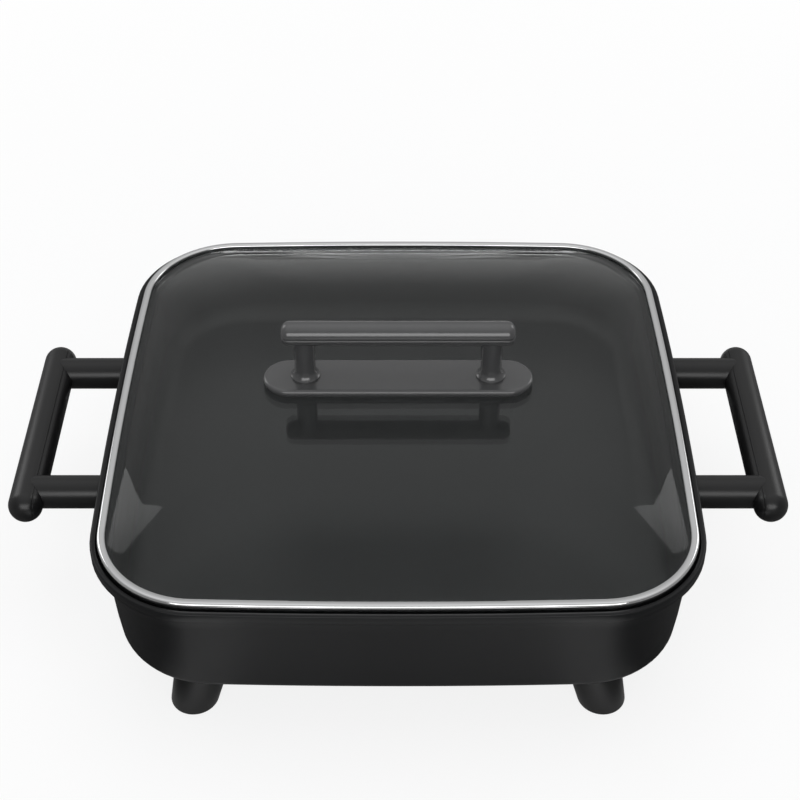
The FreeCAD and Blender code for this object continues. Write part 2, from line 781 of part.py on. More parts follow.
def make_base_cover():
    """Makes the pressed base cover, its edge turned up inside the skirt, and its screws."""
    body = new_body("base_cover")
    plate = new_sketch(body, "Plate", offset="foot_tall")
    draw_inset_square(plate, "recess_half", "recess_corner", "side_bow", "fit_gap")
    extrude(body, plate, "cover_lip")
    tray = new_sketch(body, "Tray", offset="cover_top")
    draw_inset_square(tray, "recess_half", "recess_corner", "side_bow", "(fit_gap + cover_thick)")
    extrude(body, tray, "cover_lip - cover_thick", "Pocket", backwards=True)
    gap = new_sketch(body, "BlockGap", offset="cover_top")
    draw_box(gap, ("block_start", "-block_wide / 2 - fit_gap"), ("recess_half", "block_wide / 2 + fit_gap"))
    extrude(body, gap, "cover_lip - cover_thick", "Pocket", backwards=True)
    pillars = corners("pillar_place", "pillar_place")
    places = pillars + corners("foot_screw_across", "foot_screw_along")
    rounds(body, "Holes", "clear_hole", places, "cover_thick", offset="foot_tall")
    node(body, "base_cover")
    length = "reflector_top - foot_tall + screw_bite"
    screws = [screw("cover_screw_%d" % index, length, across, along, "foot_tall - head_tall")
              for index, (across, along) in enumerate(pillars)]
    node(combine("Compound", "cover_screws", *screws), "base_cover_screws")


def make_feet():
    """Makes the four leaning feet, their rubber pads and the long screws that hold them."""
    names = ("front_left", "front_right", "rear_left", "rear_right")
    turns = (180, 270, 90, 0)
    head_high = "foot_tall - foot_web"
    for name, turn, (across, along) in zip(names, turns, corners("foot_across", "foot_along")):
        body = new_body("foot_" + name)
        levels = [("Top", "foot_tall", "foot_top_radius", "0"),
                  ("Low", "pad_proud + foot_edge", "foot_low_radius", "foot_lean"),
                  ("Tip", "pad_proud", "foot_low_radius - foot_edge", "foot_lean")]
        sections = []
        for label, high, radius, shift in levels:
            section = new_sketch(body, label, offset=high)
            draw_circle(section, radius, shift, shift)
            sections.append(section)
        loft(body, sections)
        rounds(body, "PadSeat", "pad_radius + seat_gap", [("foot_lean", "foot_lean")], "pad_sunk",
               offset="pad_proud")
        shift = [("foot_screw_shift", "foot_screw_shift")]
        rounds(body, "HeadBore", "head_bore", shift, head_high + " - pad_proud - pad_sunk",
               offset="pad_proud + pad_sunk")
        rounds(body, "ScrewHole", "clear_hole", shift, "foot_web", offset=head_high)
        put(body, across, along, "0", FreeCAD.Rotation(UP, turn))
        node(body, "foot_" + name)
    for name, place in zip(names, corners("(foot_across + foot_lean)", "(foot_along + foot_lean)")):
        node(cylinder("pad_" + name, "pad_radius", "pad_proud + pad_sunk", *place), "foot_pad_" + name)
    length = "foot_web + cover_thick + screw_bite"
    screws = [screw("foot_screw_%d" % index, length, across, along, head_high + " - head_tall")
              for index, (across, along) in enumerate(corners("foot_screw_across", "foot_screw_along"))]
    node(combine("Compound", "foot_screws_group", *screws), "foot_screws")


# Side grips

def capsule(name, radius):
    """Makes a round bar with ball ends along the grip's axis."""
    half = "grip_straight / 2"
    bar = cylinder(name + "_bar", radius, "grip_straight", "grip_reach", "-" + half, "grip_high", "+Y")
    balls = []
    for end, up in (("front", -1), ("rear", 1)):
        ball = doc.addObject("Part::Sphere", "%s_ball_%s" % (name, end))
        bind(ball, Radius=radius)
        put(ball, "grip_reach", "%d * %s" % (up, half), "grip_high")
        balls.append(ball)
    return combine("MultiFuse", name, bar, *balls)


def half_space(name, inner):
    """Makes a block on one side of the grip's split."""
    split = "grip_reach - grip_split"
    span = "(grip_straight / 2 + 2 * grip_radius)"
    ends = (split + " - 2 * grip_radius", split) if inner else (split, split + " + 4 * grip_radius")
    return box(name, (ends[0], "-" + span, "grip_high - 2 * grip_radius"),
               (ends[1], span, "grip_high + 2 * grip_radius"))


def make_grip(side):
    """Makes one side's grip: outer shell, inner strip with its core, posts, washers and screws."""
    turn = FreeCAD.Placement(FreeCAD.Vector(), FreeCAD.Rotation(UP, 0 if side == "right" else 180))
    shell = combine("Common", side + "_shell_form", capsule(side + "_bar_outer", "grip_radius"),
                    half_space(side + "_outer_side", False))
    outer = combine("Cut", side + "_shell", shell, capsule(side + "_hollow", "grip_radius - grip_wall"))
    strip = combine("Common", side + "_strip_form", capsule(side + "_bar_inner", "grip_radius"),
                    half_space(side + "_inner_side", True))
    core = capsule(side + "_core", "grip_radius - grip_wall - fit_gap")
    head_place = "grip_reach - head_seat"
    length = "grip_reach - head_seat - boss_face + screw_bite - screw_spare"
    tools, washers, screws = [], [], []
    for index, (along, high) in enumerate(along_pair("post_pitch", "grip_high")):
        name = "%s_%d_" % (side, index)
        for label, radius, way in (("head_bore", "head_bore", "+X"), ("strip_hole", "clear_hole", "-X")):
            tools.append(cylinder(name + label, radius, "2 * grip_radius", head_place, along, high, way))
        washers.append(ring(name + "washer", "boss_radius", "clear_hole", "washer_thick", "boss_face", along,
                            high, "+X"))
        screws.append(screw(name + "screw", length, head_place + " + head_tall", along, high, "-X"))
        place = "rear" if (index == 1) == (side == "right") else "front"
        make_post("%s_post_%s" % (side, place), along, turn)
    solid = combine("MultiFuse", side + "_strip_solid", strip, core)
    parts = {"grip_outer": outer, "grip_inner": cut_all(side + "_strip", solid, tools),
             "grip_washers": combine("Compound", side + "_washers", *washers),
             "grip_screws": combine("Compound", side + "_screws", *screws)}
    for name, thing in parts.items():
        thing.Placement = turn
        node(thing, "%s_%s" % (side, name))


def make_post(label, along, turn):
    """Makes one round post, hollowed at its end to sit against the grip."""
    solid = cylinder(label + "_form", "post_radius", "grip_reach - boss_face - washer_thick",
                     "boss_face + washer_thick", along, "grip_high", "+X")
    saddle = cylinder(label + "_saddle", "grip_radius + seat_gap", "4 * grip_radius", "grip_reach",
                      along + " - 2 * grip_radius", "grip_high", "+Y")
    hole = cylinder(label + "_hole", "clear_hole", "grip_reach", "0", along, "grip_high", "+X")
    post = cut_all(label + "_cut", solid, [saddle, hole])
    post.Placement = turn
    node(post, label)


# Lid

def make_lid_rim():
    """Makes the steel rim, a channel open inwards that holds the glass and rests on the ledge."""
    body = new_body("lid_rim")
    outer = new_sketch(body, "Outer", offset="ledge_top")
    draw_bowed_square(outer, "lid_half", "lid_corner", "lid_bow")
    extrude(body, outer, "lid_rim_tall")
    high = size("ledge_top + lid_rim_tall")
    round_edges(body, "lid_rim_round", lambda edge: level(edge, high))
    inner = new_sketch(body, "Inner", offset="ledge_top")
    draw_inset_square(inner, "lid_half", "lid_corner", "lid_bow", "lid_rim_wide")
    extrude(body, inner, "lid_rim_tall", "Pocket", backwards=True)
    channel = new_sketch(body, "Channel", offset="ledge_top + lid_rim_sheet")
    draw_inset_square(channel, "lid_half", "lid_corner", "lid_bow", "lid_rim_sheet")
    extrude(body, channel, "glass_thick + 2 * seat_gap", "Pocket", backwards=True)
    node(body, "lid_rim")


def dome_sections(body, name, inset, high):
    """Draws the dome's levels, from its flat middle down to an edge that stands in from the dome's start."""
    start = "(dome_start - %s)" % inset
    corner = "(dome_corner - %s)" % inset
    sections = []
    for step in range(DOME_STEPS, -1, -1):
        part = step / DOME_STEPS
        climb = 1 - (1 - part) ** 2
        section = new_sketch(body, "%s%d" % (name, step), offset="%s + %f * dome_rise" % (high, climb))
        draw_bowed_square(section, "(%s + %f * (dome_flat - %s))" % (start, part, start),
                          "(%s + %f * (dome_flat_corner - %s))" % (corner, part, corner), "lid_bow")
        sections.append(section)
    return sections


def make_glass():
    """Makes the domed glass with its flat edge and two screw holes."""
    body = new_body("lid_glass")
    edge = new_sketch(body, "Edge", offset="glass_low")
    draw_inset_square(edge, "lid_half", "lid_corner", "lid_bow", "(lid_rim_sheet + fit_gap)")
    extrude(body, edge, "glass_thick")
    loft(body, dome_sections(body, "Dome", "0", "glass_edge_top"), ruled=False)
    loft(body, dome_sections(body, "Under", "dome_inset", "glass_low"), "SubtractiveLoft", False)
    rounds(body, "Holes", "screw_radius + glass_hole_gap", across_pair("lid_post_pitch"), "2 * glass_thick",
           offset="glass_top", backwards=False)
    node(body, "lid_glass")


def handle_base(label, inset, low, thick, rounding=None):
    """Makes a slot-shaped plate of the lid's handle, with its two screw holes."""
    body = new_body(label)
    outline = new_sketch(body, "Outline", offset=low)
    draw_stadium(outline, "(plate_long / 2 - %s)" % inset, "(plate_wide / 2 - %s)" % inset)
    extrude(body, outline, thick)
    if rounding:
        high = size("%s + %s" % (low, thick))
        round_edges(body, rounding, lambda edge: level(edge, high))
    rounds(body, "Holes", "clear_hole", across_pair("lid_post_pitch"), thick, offset=low)
    node(body, label)


def make_lid_post(side, right):
    """Makes one post of the lid's handle: a shaft that flares into a round foot."""
    body = new_body("lid_post_form_" + side)
    profile = new_sketch(body, "Profile", "XZ_Plane")
    foot, shaft, skirt = size("lid_post_foot"), size("lid_post_radius"), size("lid_post_skirt")
    flare, tall = size("lid_post_skirt + lid_post_flare"), size("bar_high")
    spread = foot - shaft
    sweep_radius = (spread ** 2 + (flare - skirt) ** 2) / (2 * spread)
    lean = math.asin((flare - skirt) / sweep_radius)
    centre = FreeCAD.Vector(shaft + sweep_radius, flare, 0)
    arc = Part.ArcOfCircle(Part.Circle(centre, UP, sweep_radius), math.pi, math.pi + lean)
    spots = [(0, 0), (foot, 0), (foot, skirt), (shaft, flare), (shaft, tall), (0, tall)]
    lines = [(0, 1), (1, 2), (3, 4), (4, 5), (5, 0)]
    vectors = [FreeCAD.Vector(*spot, 0) for spot in spots]
    for start, stop in lines:
        profile.addGeometry(Part.LineSegment(vectors[start], vectors[stop]))
    curve = profile.addGeometry(arc)
    for first, second in ((0, 1), (2, 3), (3, 4), (4, 0)):
        profile.addConstraint(Sketcher.Constraint("Coincident", first, Spot.END, second, Spot.START))
    profile.addConstraint(Sketcher.Constraint("Coincident", 1, Spot.END, curve, Spot.END))
    profile.addConstraint(Sketcher.Constraint("Tangent", curve, Spot.START, 2, Spot.START))
    locate(profile, 0, Spot.START, "0", "0")
    locate(profile, 0, Spot.END, "lid_post_foot", "0")
    locate(profile, 1, Spot.END, "lid_post_foot", "lid_post_skirt")
    locate(profile, 2, Spot.START, "lid_post_radius", "lid_post_skirt + lid_post_flare")
    locate(profile, 2, Spot.END, "lid_post_radius", "bar_high")
    locate(profile, 3, Spot.END, "0", "bar_high")
    feature = body.newObject("PartDesign::Revolution", "Revolution")
    feature.Profile = profile
    feature.ReferenceAxis = (profile, ["V_Axis"])
    settle(body, feature, 0.0, True)
    across = "%d * lid_post_pitch / 2" % right
    put(body, across, "0", "plate_top")
    saddle = cylinder("lid_saddle_" + side, "bar_radius + seat_gap", "bar_long", "-bar_long / 2", "0",
                      "bar_axis", "+X")
    hole = cylinder("lid_post_hole_" + side, "clear_hole", "bar_high", across, "0", "plate_top")
    node(cut_all("lid_post_cut_" + side, body, [saddle, hole]), "lid_post_" + side)


def make_bar_half(label, upper):
    """Makes one half of the lid's bar, split at mid height, with pegs above and sockets below."""
    body = new_body(label)
    section = new_sketch(body, "Section", "YZ_Plane")
    radius = size("bar_radius")
    start = 0 if upper else math.pi
    section.addGeometry(Part.ArcOfCircle(Part.Circle(FreeCAD.Vector(), UP, radius), start, start + math.pi))
    flip = FreeCAD.Vector(-radius if upper else radius, 0, 0)
    section.addGeometry(Part.LineSegment(flip, flip * -1))
    section.addConstraint(Sketcher.Constraint("Coincident", 0, Spot.END, 1, Spot.START))
    section.addConstraint(Sketcher.Constraint("Coincident", 1, Spot.END, 0, Spot.START))
    section.addConstraint(Sketcher.Constraint("PointOnObject", 0, Spot.START, AXIS_ACROSS))
    section.addConstraint(Sketcher.Constraint("PointOnObject", 0, Spot.END, AXIS_ACROSS))
    section.addConstraint(Sketcher.Constraint("PointOnObject", 0, Spot.CENTRE, AXIS_ALONG))
    hold(section, "Radius", "bar_radius", 0)
    extrude(body, section, "bar_long", both=True)
    round_edges(body, "bar_round", lambda edge: edge.BoundBox.XLength < FLAT < edge.BoundBox.ZLength)
    pegs = across_pair("peg_pitch")
    if upper:
        rounds(body, "Pegs", "peg_radius", pegs, "peg_tall", "Pad")
    else:
        rounds(body, "Sockets", "peg_radius + seat_gap", pegs, "peg_tall + fit_gap", backwards=False)
        rounds(body, "ScrewHoles", "tapped_hole", across_pair("lid_post_pitch"),
               "lid_screw_bite + screw_spare", offset="-bar_radius")
    put(body, "0", "0", "bar_axis")
    node(body, label)


def make_lid_fasteners():
    """Makes the washers and long screws that clamp the handle to the glass from below."""
    washers, screws = [], []
    low = "glass_under - lid_washer_thick"
    length = "bar_axis - bar_radius + lid_screw_bite - glass_under + lid_washer_thick"
    for index, (across, along) in enumerate(across_pair("lid_post_pitch")):
        washers.append(ring("lid_washer_%d" % index, "lid_washer_radius", "clear_hole", "lid_washer_thick",
                            across, along, low))
        screws.append(screw("lid_screw_%d" % index, length, across, along, low + " - head_tall"))
    node(combine("Compound", "lid_washer_pair", *washers), "lid_washers")
    node(combine("Compound", "lid_screw_pair", *screws), "lid_screws")


def check_and_write():
    """Stops on any failed object or bad shape, then writes each sub-part to its own file."""
    doc.recompute()
    for thing in doc.Objects:
        if "Invalid" in thing.State or "Error" in thing.State:
            raise RuntimeError("%s failed: %s" % (thing.Label, thing.State))
    os.makedirs("parts", exist_ok=True)
    for thing in nodes:
        if thing.Shape.isNull() or not thing.Shape.isValid():
            raise RuntimeError("bad shape: " + thing.Label)
    for thing in nodes:
        thing.Shape.exportStep("parts/%s.step" % thing.Label)
        span = thing.Shape.BoundBox
        print("%-26s solids %d  volume %10.1f  z %.2f to %.2f"
              % (thing.Label, len(thing.Shape.Solids), thing.Shape.Volume, span.ZMin, span.ZMax))
    print(len(nodes), "sub-parts")


fill_sheet()
make_pan()
make_heater()
make_terminal_block()
make_pins()
make_guard()
make_earth_contact()
make_reflector()
make_base_cover()
make_feet()
make_grip("right")
make_grip("left")
make_lid_rim()
make_glass()
handle_base("lid_handle_gasket", "gasket_inset", "glass_top", "gasket_thick")
handle_base("lid_handle_plate", "0", "plate_low", "plate_thick", "plate_round")
make_lid_post("left", -1)
make_lid_post("right", 1)
make_bar_half("lid_bar_lower", False)
make_bar_half("lid_bar_upper", True)
make_lid_fasteners()
check_and_write()
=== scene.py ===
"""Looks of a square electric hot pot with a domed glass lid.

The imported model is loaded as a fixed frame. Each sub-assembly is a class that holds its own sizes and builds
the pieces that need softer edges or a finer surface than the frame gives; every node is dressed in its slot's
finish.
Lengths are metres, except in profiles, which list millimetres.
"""

import json
import logging
import math
from dataclasses import dataclass, field
from enum import Enum
from typing import Optional, Sequence, Union

import bmesh
import bpy
from mathutils import Matrix, Vector

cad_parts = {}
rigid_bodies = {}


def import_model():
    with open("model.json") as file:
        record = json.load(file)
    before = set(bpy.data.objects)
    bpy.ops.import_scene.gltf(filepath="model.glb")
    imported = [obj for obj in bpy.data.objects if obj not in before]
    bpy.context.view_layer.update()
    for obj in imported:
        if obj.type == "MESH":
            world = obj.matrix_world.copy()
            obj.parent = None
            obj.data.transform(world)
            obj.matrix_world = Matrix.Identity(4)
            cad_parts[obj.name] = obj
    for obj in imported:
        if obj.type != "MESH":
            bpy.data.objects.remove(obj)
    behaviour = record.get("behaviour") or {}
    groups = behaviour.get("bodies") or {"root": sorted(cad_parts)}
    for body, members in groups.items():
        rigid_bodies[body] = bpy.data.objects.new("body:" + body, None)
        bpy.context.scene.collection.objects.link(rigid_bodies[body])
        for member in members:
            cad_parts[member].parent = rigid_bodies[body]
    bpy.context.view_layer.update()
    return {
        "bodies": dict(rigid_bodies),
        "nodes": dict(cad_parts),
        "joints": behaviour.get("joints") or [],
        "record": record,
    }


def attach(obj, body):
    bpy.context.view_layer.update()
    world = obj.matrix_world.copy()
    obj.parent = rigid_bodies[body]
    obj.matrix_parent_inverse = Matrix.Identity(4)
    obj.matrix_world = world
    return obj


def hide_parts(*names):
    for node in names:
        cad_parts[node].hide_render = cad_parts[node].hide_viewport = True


MM = 0.001
# How the names of the lid handle's mouldings start
LID_HANDLE = ("lid_", "handle_plate")
# Metres within which mesh points lie on a cut, lie in a plane, or are one point
CUT_NEAR = 1e-7
PLANE_NEAR = 1e-6
POINT_NEAR = 2e-6
# Metres by which the middle of a face lies under a level before it counts as below
BELOW_NEAR = 1e-5
# The share of its easing by which a softened corner steps in
CORNER_SHARE = 0.3
# Octaves of noise, its middle value, and how rough its finer octaves are
FINE_OCTAVES = 2.0
BROAD_OCTAVES = 4.0
NOISE_MEAN = 0.5
NOISE_ROUGHNESS = 0.55
# Numbers of the Mix node's colour sockets, whose names are not theirs alone
MIX_FACTOR, MIX_FIRST, MIX_SECOND, MIX_RESULT = 0, 6, 7, 2
EVEN = (1.0, 1.0, 1.0)
WHITE = (1.0, 1.0, 1.0, 1.0)
BLACK = (0.0, 0.0, 0.0, 1.0)
log = logging.getLogger("hot_pot")

Colour = tuple[float, float, float]
Point = tuple[float, float, float]
Pair = tuple[float, float]
Ring = list[Vector]


class Body(Enum):
    """The two bodies that the pieces ride on."""

    POT = "pot"
    LID = "lid"


# Shading

class Shade:
    """A shader socket that takes part in Python arithmetic, one Math node for each operation."""

    def __init__(self, recipe: "Recipe", socket: bpy.types.NodeSocket) -> None:
        """Wraps an output socket of a recipe's tree.

        Args:
            recipe: the recipe that the socket belongs to.
            socket: the output socket.
        """
        self.recipe = recipe
        self.socket = socket

    def maths(self, operation: str, *values: "Value") -> "Shade":
        """Adds a Math node.

        Args:
            operation: the node's operation.
            values: its inputs in order.

        Returns:
            The node's output.
        """
        return self.recipe.node("ShaderNodeMath", {"operation": operation}, dict(enumerate(values)))

    def __add__(self, other: "Value") -> "Shade":
        """Self plus other."""
        return self.maths("ADD", self, other)

    def __radd__(self, other: "Value") -> "Shade":
        """Other plus self."""
        return self.maths("ADD", other, self)

    def __sub__(self, other: "Value") -> "Shade":
        """Self minus other."""
        return self.maths("SUBTRACT", self, other)

    def __rsub__(self, other: "Value") -> "Shade":
        """Other minus self."""
        return self.maths("SUBTRACT", other, self)

    def __mul__(self, other: "Value") -> "Shade":
        """Self times other."""
        return self.maths("MULTIPLY", self, other)

    def __rmul__(self, other: "Value") -> "Shade":
        """Other times self."""
        return self.maths("MULTIPLY", other, self)

    def __abs__(self) -> "Shade":
        """The size of self without its sign."""
        return self.maths("ABSOLUTE", self)

    def above(self, level: float) -> "Shade":
        """1 where self is over a level, 0 elsewhere.

        Args:
            level: the level.

        Returns:
            The mask.
        """
        return self.maths("GREATER_THAN", self, level)

    def either(self, other: "Value") -> "Shade":
        """The larger of self and other.

        Args:
            other: what self is compared with.

        Returns:
            The larger value.
        """
        return self.maths("MAXIMUM", self, other)


Value = Union[float, Colour, tuple[float, float, float, float], Shade]


class Recipe:
    """A node tree under construction."""

    def __init__(self, owner: Union[bpy.types.Material, bpy.types.World]) -> None:
        """Starts an empty tree.

        Args:
            owner: the material or world that the tree belongs to.
        """
        self.owner = owner
        owner.use_nodes = True
        self.tree = owner.node_tree
        self.tree.nodes.clear()

    def node(self, kind: str, settings: Optional[dict] = None, sockets: Optional[dict] = None,
             out: Union[int, str] = 0) -> Shade:
        """Adds any node.

        Args:
            kind: the node's type.
            settings: properties to set first; a ramp's stops go under "stops".
            sockets: values or links by the input's name or number.
            out: the output that is returned.

        Returns:
            The chosen output, which is empty for a node that has none.
        """
        made = self.tree.nodes.new(kind)
        for name, value in (settings or {}).items():
            if name == "stops":
                self._set_stops(made.color_ramp.elements, value)
            else:
                setattr(made, name, value)
        for name, value in (sockets or {}).items():
            target = made.inputs[name]
            if isinstance(value, Shade):
                self.tree.links.new(value.socket, target)
            else:
                target.default_value = value
        return Shade(self, made.outputs[out] if made.outputs else None)

    @staticmethod
    def _set_stops(elements: bpy.types.ColorRampElements, stops: Sequence[Pair]) -> None:
        """Gives a ramp its grey stops.

        Args:
            elements: the ramp's elements.
            stops: positions with their grey levels.
        """
        while len(elements) > 1:
            elements.remove(elements[0])
        for index, (position, grey) in enumerate(stops):
            element = elements[0] if index == 0 else elements.new(position)
            element.position = position
            element.color = (grey, grey, grey, 1.0)

    def place(self, stretch: Point = EVEN) -> Shade:
        """The object's own coordinates.

        Args:
            stretch: factors along the three axes.

        Returns:
            The stretched coordinates.
        """
        spot = self.node("ShaderNodeTexCoord", out="Object")
        return self.node("ShaderNodeVectorMath", {"operation": "MULTIPLY"}, {0: spot, 1: stretch})

    def axis(self, letter: str, spot: Optional[Shade] = None) -> Shade:
        """One coordinate.

        Args:
            letter: X, Y or Z.
            spot: the coordinates, the object's own by default.

        Returns:
            The coordinate.
        """
        return self.node("ShaderNodeSeparateXYZ", {}, {0: spot or self.place()}, letter)

    def noise(self, scale: float, detail: float = 3.0, stretch: Point = EVEN) -> Shade:
        """Soft noise.

        Args:
            scale: features per metre.
            detail: octaves.
            stretch: factors along the three axes.

        Returns:
            The noise, about 0.5 in the middle.
        """
        sockets = {"Vector": self.place(stretch), "Scale": scale, "Detail": detail,
                   "Roughness": NOISE_ROUGHNESS}
        return self.node("ShaderNodeTexNoise", {}, sockets, "Fac")

    def blend(self, factor: Value, first: Colour, second: Colour) -> Shade:
        """Mixes two colours.

        Args:
            factor: the share of the second.
            first: the colour at 0.
            second: the colour at 1.

        Returns:
            The mixed colour.
        """
        sockets = {MIX_FACTOR: factor, MIX_FIRST: (*first, 1.0), MIX_SECOND: (*second, 1.0)}
        return self.node("ShaderNodeMix", {"data_type": "RGBA"}, sockets, MIX_RESULT)

    def bump(self, height: Shade, depth: float) -> Shade:
        """A normal that follows a height.

        Args:
            height: the height, from 0 to 1.
            depth: the depth that 1 stands for, in metres.

        Returns:
            The normal.
        """
        return self.node("ShaderNodeBump", {}, {"Height": height, "Distance": depth}, "Normal")

    def principled(self, **sockets: Value) -> Shade:
        """A principled shader.

        Args:
            sockets: its inputs, with underscores for spaces.

        Returns:
            The shader.
        """
        named = {name.replace("_", " "): value for name, value in sockets.items()}
        return self.node("ShaderNodeBsdfPrincipled", {}, named, "BSDF")

    def seen_by(self, *rays: str) -> Shade:
        """1 for rays of the given kinds.

        Args:
            rays: outputs of the Light Path node.

        Returns:
            The mask.
        """
        masks = [self.node("ShaderNodeLightPath", out=ray) for ray in rays]
        for mask in masks[1:]:
            masks[0] = masks[0].either(mask)
        return masks[0]

    def mixed(self, factor: Value, first: Shade, second: Shade) -> Shade:
        """Mixes two shaders.

        Args:
            factor: the share of the second.
            first: the shader at 0.
            second: the shader at 1.

        Returns:
            The mixed shader.
        """
        return self.node("ShaderNodeMixShader", {}, {0: factor, 1: first, 2: second})

    def finish(self, surface: Shade) -> Union[bpy.types.Material, bpy.types.World]:
        """Links a surface to the output.

        Args:
            surface: the shader to show.

        Returns:
            The finished material or world.
        """
        kind = "World" if isinstance(self.owner, bpy.types.World) else "Material"
        self.node("ShaderNodeOutput" + kind, {}, {"Surface": surface})
        return self.owner


def new_recipe(name: str) -> Recipe:
    """Starts a material.

    Args:
        name: its name.

    Returns:
        Its empty recipe.
    """
    return Recipe(bpy.data.materials.new(name))


@dataclass(frozen=True)
class Satin:
    """A mostly even surface with a fine grain: moulding, paint, rubber or ceramic."""

    name: str
    dark: Colour
    light: Colour
    roughness: float
    grain_scale: float
    grain_depth: float
    spread: float = 0.1
    specular: float = 0.3
    patch_scale: float = 22.0
    patch_share: float = 0.7
    grain_share: float = 0.3
    grain_spread: float = 0.5

    def make(self) -> bpy.types.Material:
        """Builds the material. Broad patches shift its colour and gloss, and the grain lifts the surface.

        Returns:
            The material.
        """
        recipe = new_recipe(self.name)
        patch = recipe.noise(self.patch_scale, BROAD_OCTAVES)
        grain = recipe.noise(self.grain_scale, FINE_OCTAVES)
        colour = recipe.blend(patch * self.patch_share + grain * self.grain_share, self.dark, self.light)
        roughness = (self.roughness + (patch - NOISE_MEAN) * self.spread
                     + (grain - NOISE_MEAN) * (self.spread * self.grain_spread))
        return recipe.finish(recipe.principled(
            Base_Color=colour, Roughness=roughness, Specular_IOR_Level=self.specular,
            Normal=recipe.bump(grain, self.grain_depth)))


@dataclass(frozen=True)
class Coating:
    """The pan's dark coating: broad soft patches, a mottle and a faint long-waved orange peel."""

    name: str = "pan_coating"
    dark: Colour = (0.0042, 0.0043, 0.0047)
    light: Colour = (0.0078, 0.008, 0.0086)
    roughness: float = 0.36
    specular: float = 0.3
    patch_scale: float = 16.0
    patch_share: float = 0.6
    patch_spread: float = 0.1
    mottle_scale: float = 140.0
    mottle_share: float = 0.4
    mottle_spread: float = 0.06
    peel_scale: float = 180.0
    peel_depth: float = 0.000006

    def make(self) -> bpy.types.Material:
        """Builds the coating. The patches and the mottle shift its colour and gloss, and the peel lifts it.

        Returns:
            The material.
        """
        recipe = new_recipe(self.name)
        patch = recipe.noise(self.patch_scale, BROAD_OCTAVES)
        mottle = recipe.noise(self.mottle_scale, FINE_OCTAVES)
        colour = recipe.blend(patch * self.patch_share + mottle * self.mottle_share, self.dark, self.light)
        roughness = (self.roughness + (patch - NOISE_MEAN) * self.patch_spread
                     + (mottle - NOISE_MEAN) * self.mottle_spread)
        return recipe.finish(recipe.principled(
            Base_Color=colour, Roughness=roughness, Specular_IOR_Level=self.specular,
            Normal=recipe.bump(recipe.noise(self.peel_scale, FINE_OCTAVES), self.peel_depth)))


@dataclass(frozen=True)
class Metal:
    """A bare metal with fine drawn lines or a soft polish."""

    name: str
    colour: Colour
    roughness: float
    streak: Point
    streak_scale: float
    streak_depth: float
    streak_share: float = 0.5
    streak_spread: float = 0.7
    patch_scale: float = 35.0
    patch_share: float = 0.5
    patch_spread: float = 0.02
    darkest: float = 0.9

    def make(self) -> bpy.types.Material:
        """Builds the metal. The streaks vary its gloss and lift it a little.

        Returns:
            The material.
        """
        recipe = new_recipe(self.name)
        streak = recipe.noise(self.streak_scale, BROAD_OCTAVES, self.streak)
        patch = recipe.noise(self.patch_scale)
        darker = tuple(channel * self.darkest for channel in self.colour)
        colour = recipe.blend(streak * self.streak_share + patch * self.patch_share, darker, self.colour)
        roughness = (self.roughness + (streak - NOISE_MEAN) * (self.roughness * self.streak_spread)
                     + (patch - NOISE_MEAN) * self.patch_spread)
        return recipe.finish(recipe.principled(
            Base_Color=colour, Roughness=roughness, Metallic=1.0,
            Normal=recipe.bump(streak, self.streak_depth)))


@dataclass(frozen=True)
class ClearGlass:
    """Clear toughened glass, faintly green. Its shadow lets light through to the cavity."""

    name: str = "clear_glass"
    clear: Colour = (0.985, 0.995, 0.99)
    tinted: Colour = (0.955, 0.98, 0.97)
    sheen: Colour = (0.34, 0.35, 0.35)
    shadow: Colour = (0.95, 0.965, 0.96)
    index: float = 1.5
    tint_scale: float = 30.0

    def make(self) -> bpy.types.Material:
        """Builds the glass, with a plain clear shader for shadow rays.

        Returns:
            The material.
        """
        recipe = new_recipe(self.name)
        tint = recipe.blend(recipe.noise(self.tint_scale), self.clear, self.tinted)
        glass = recipe.principled(Base_Color=tint, Roughness=0.0, IOR=self.index, Transmission_Weight=1.0,
                                  Specular_Tint=(*self.sheen, 1.0))
        through = recipe.node("ShaderNodeBsdfTransparent", {}, {"Color": (*self.shadow, 1.0)})
        return recipe.finish(recipe.mixed(recipe.seen_by("Is Shadow Ray"), glass, through))


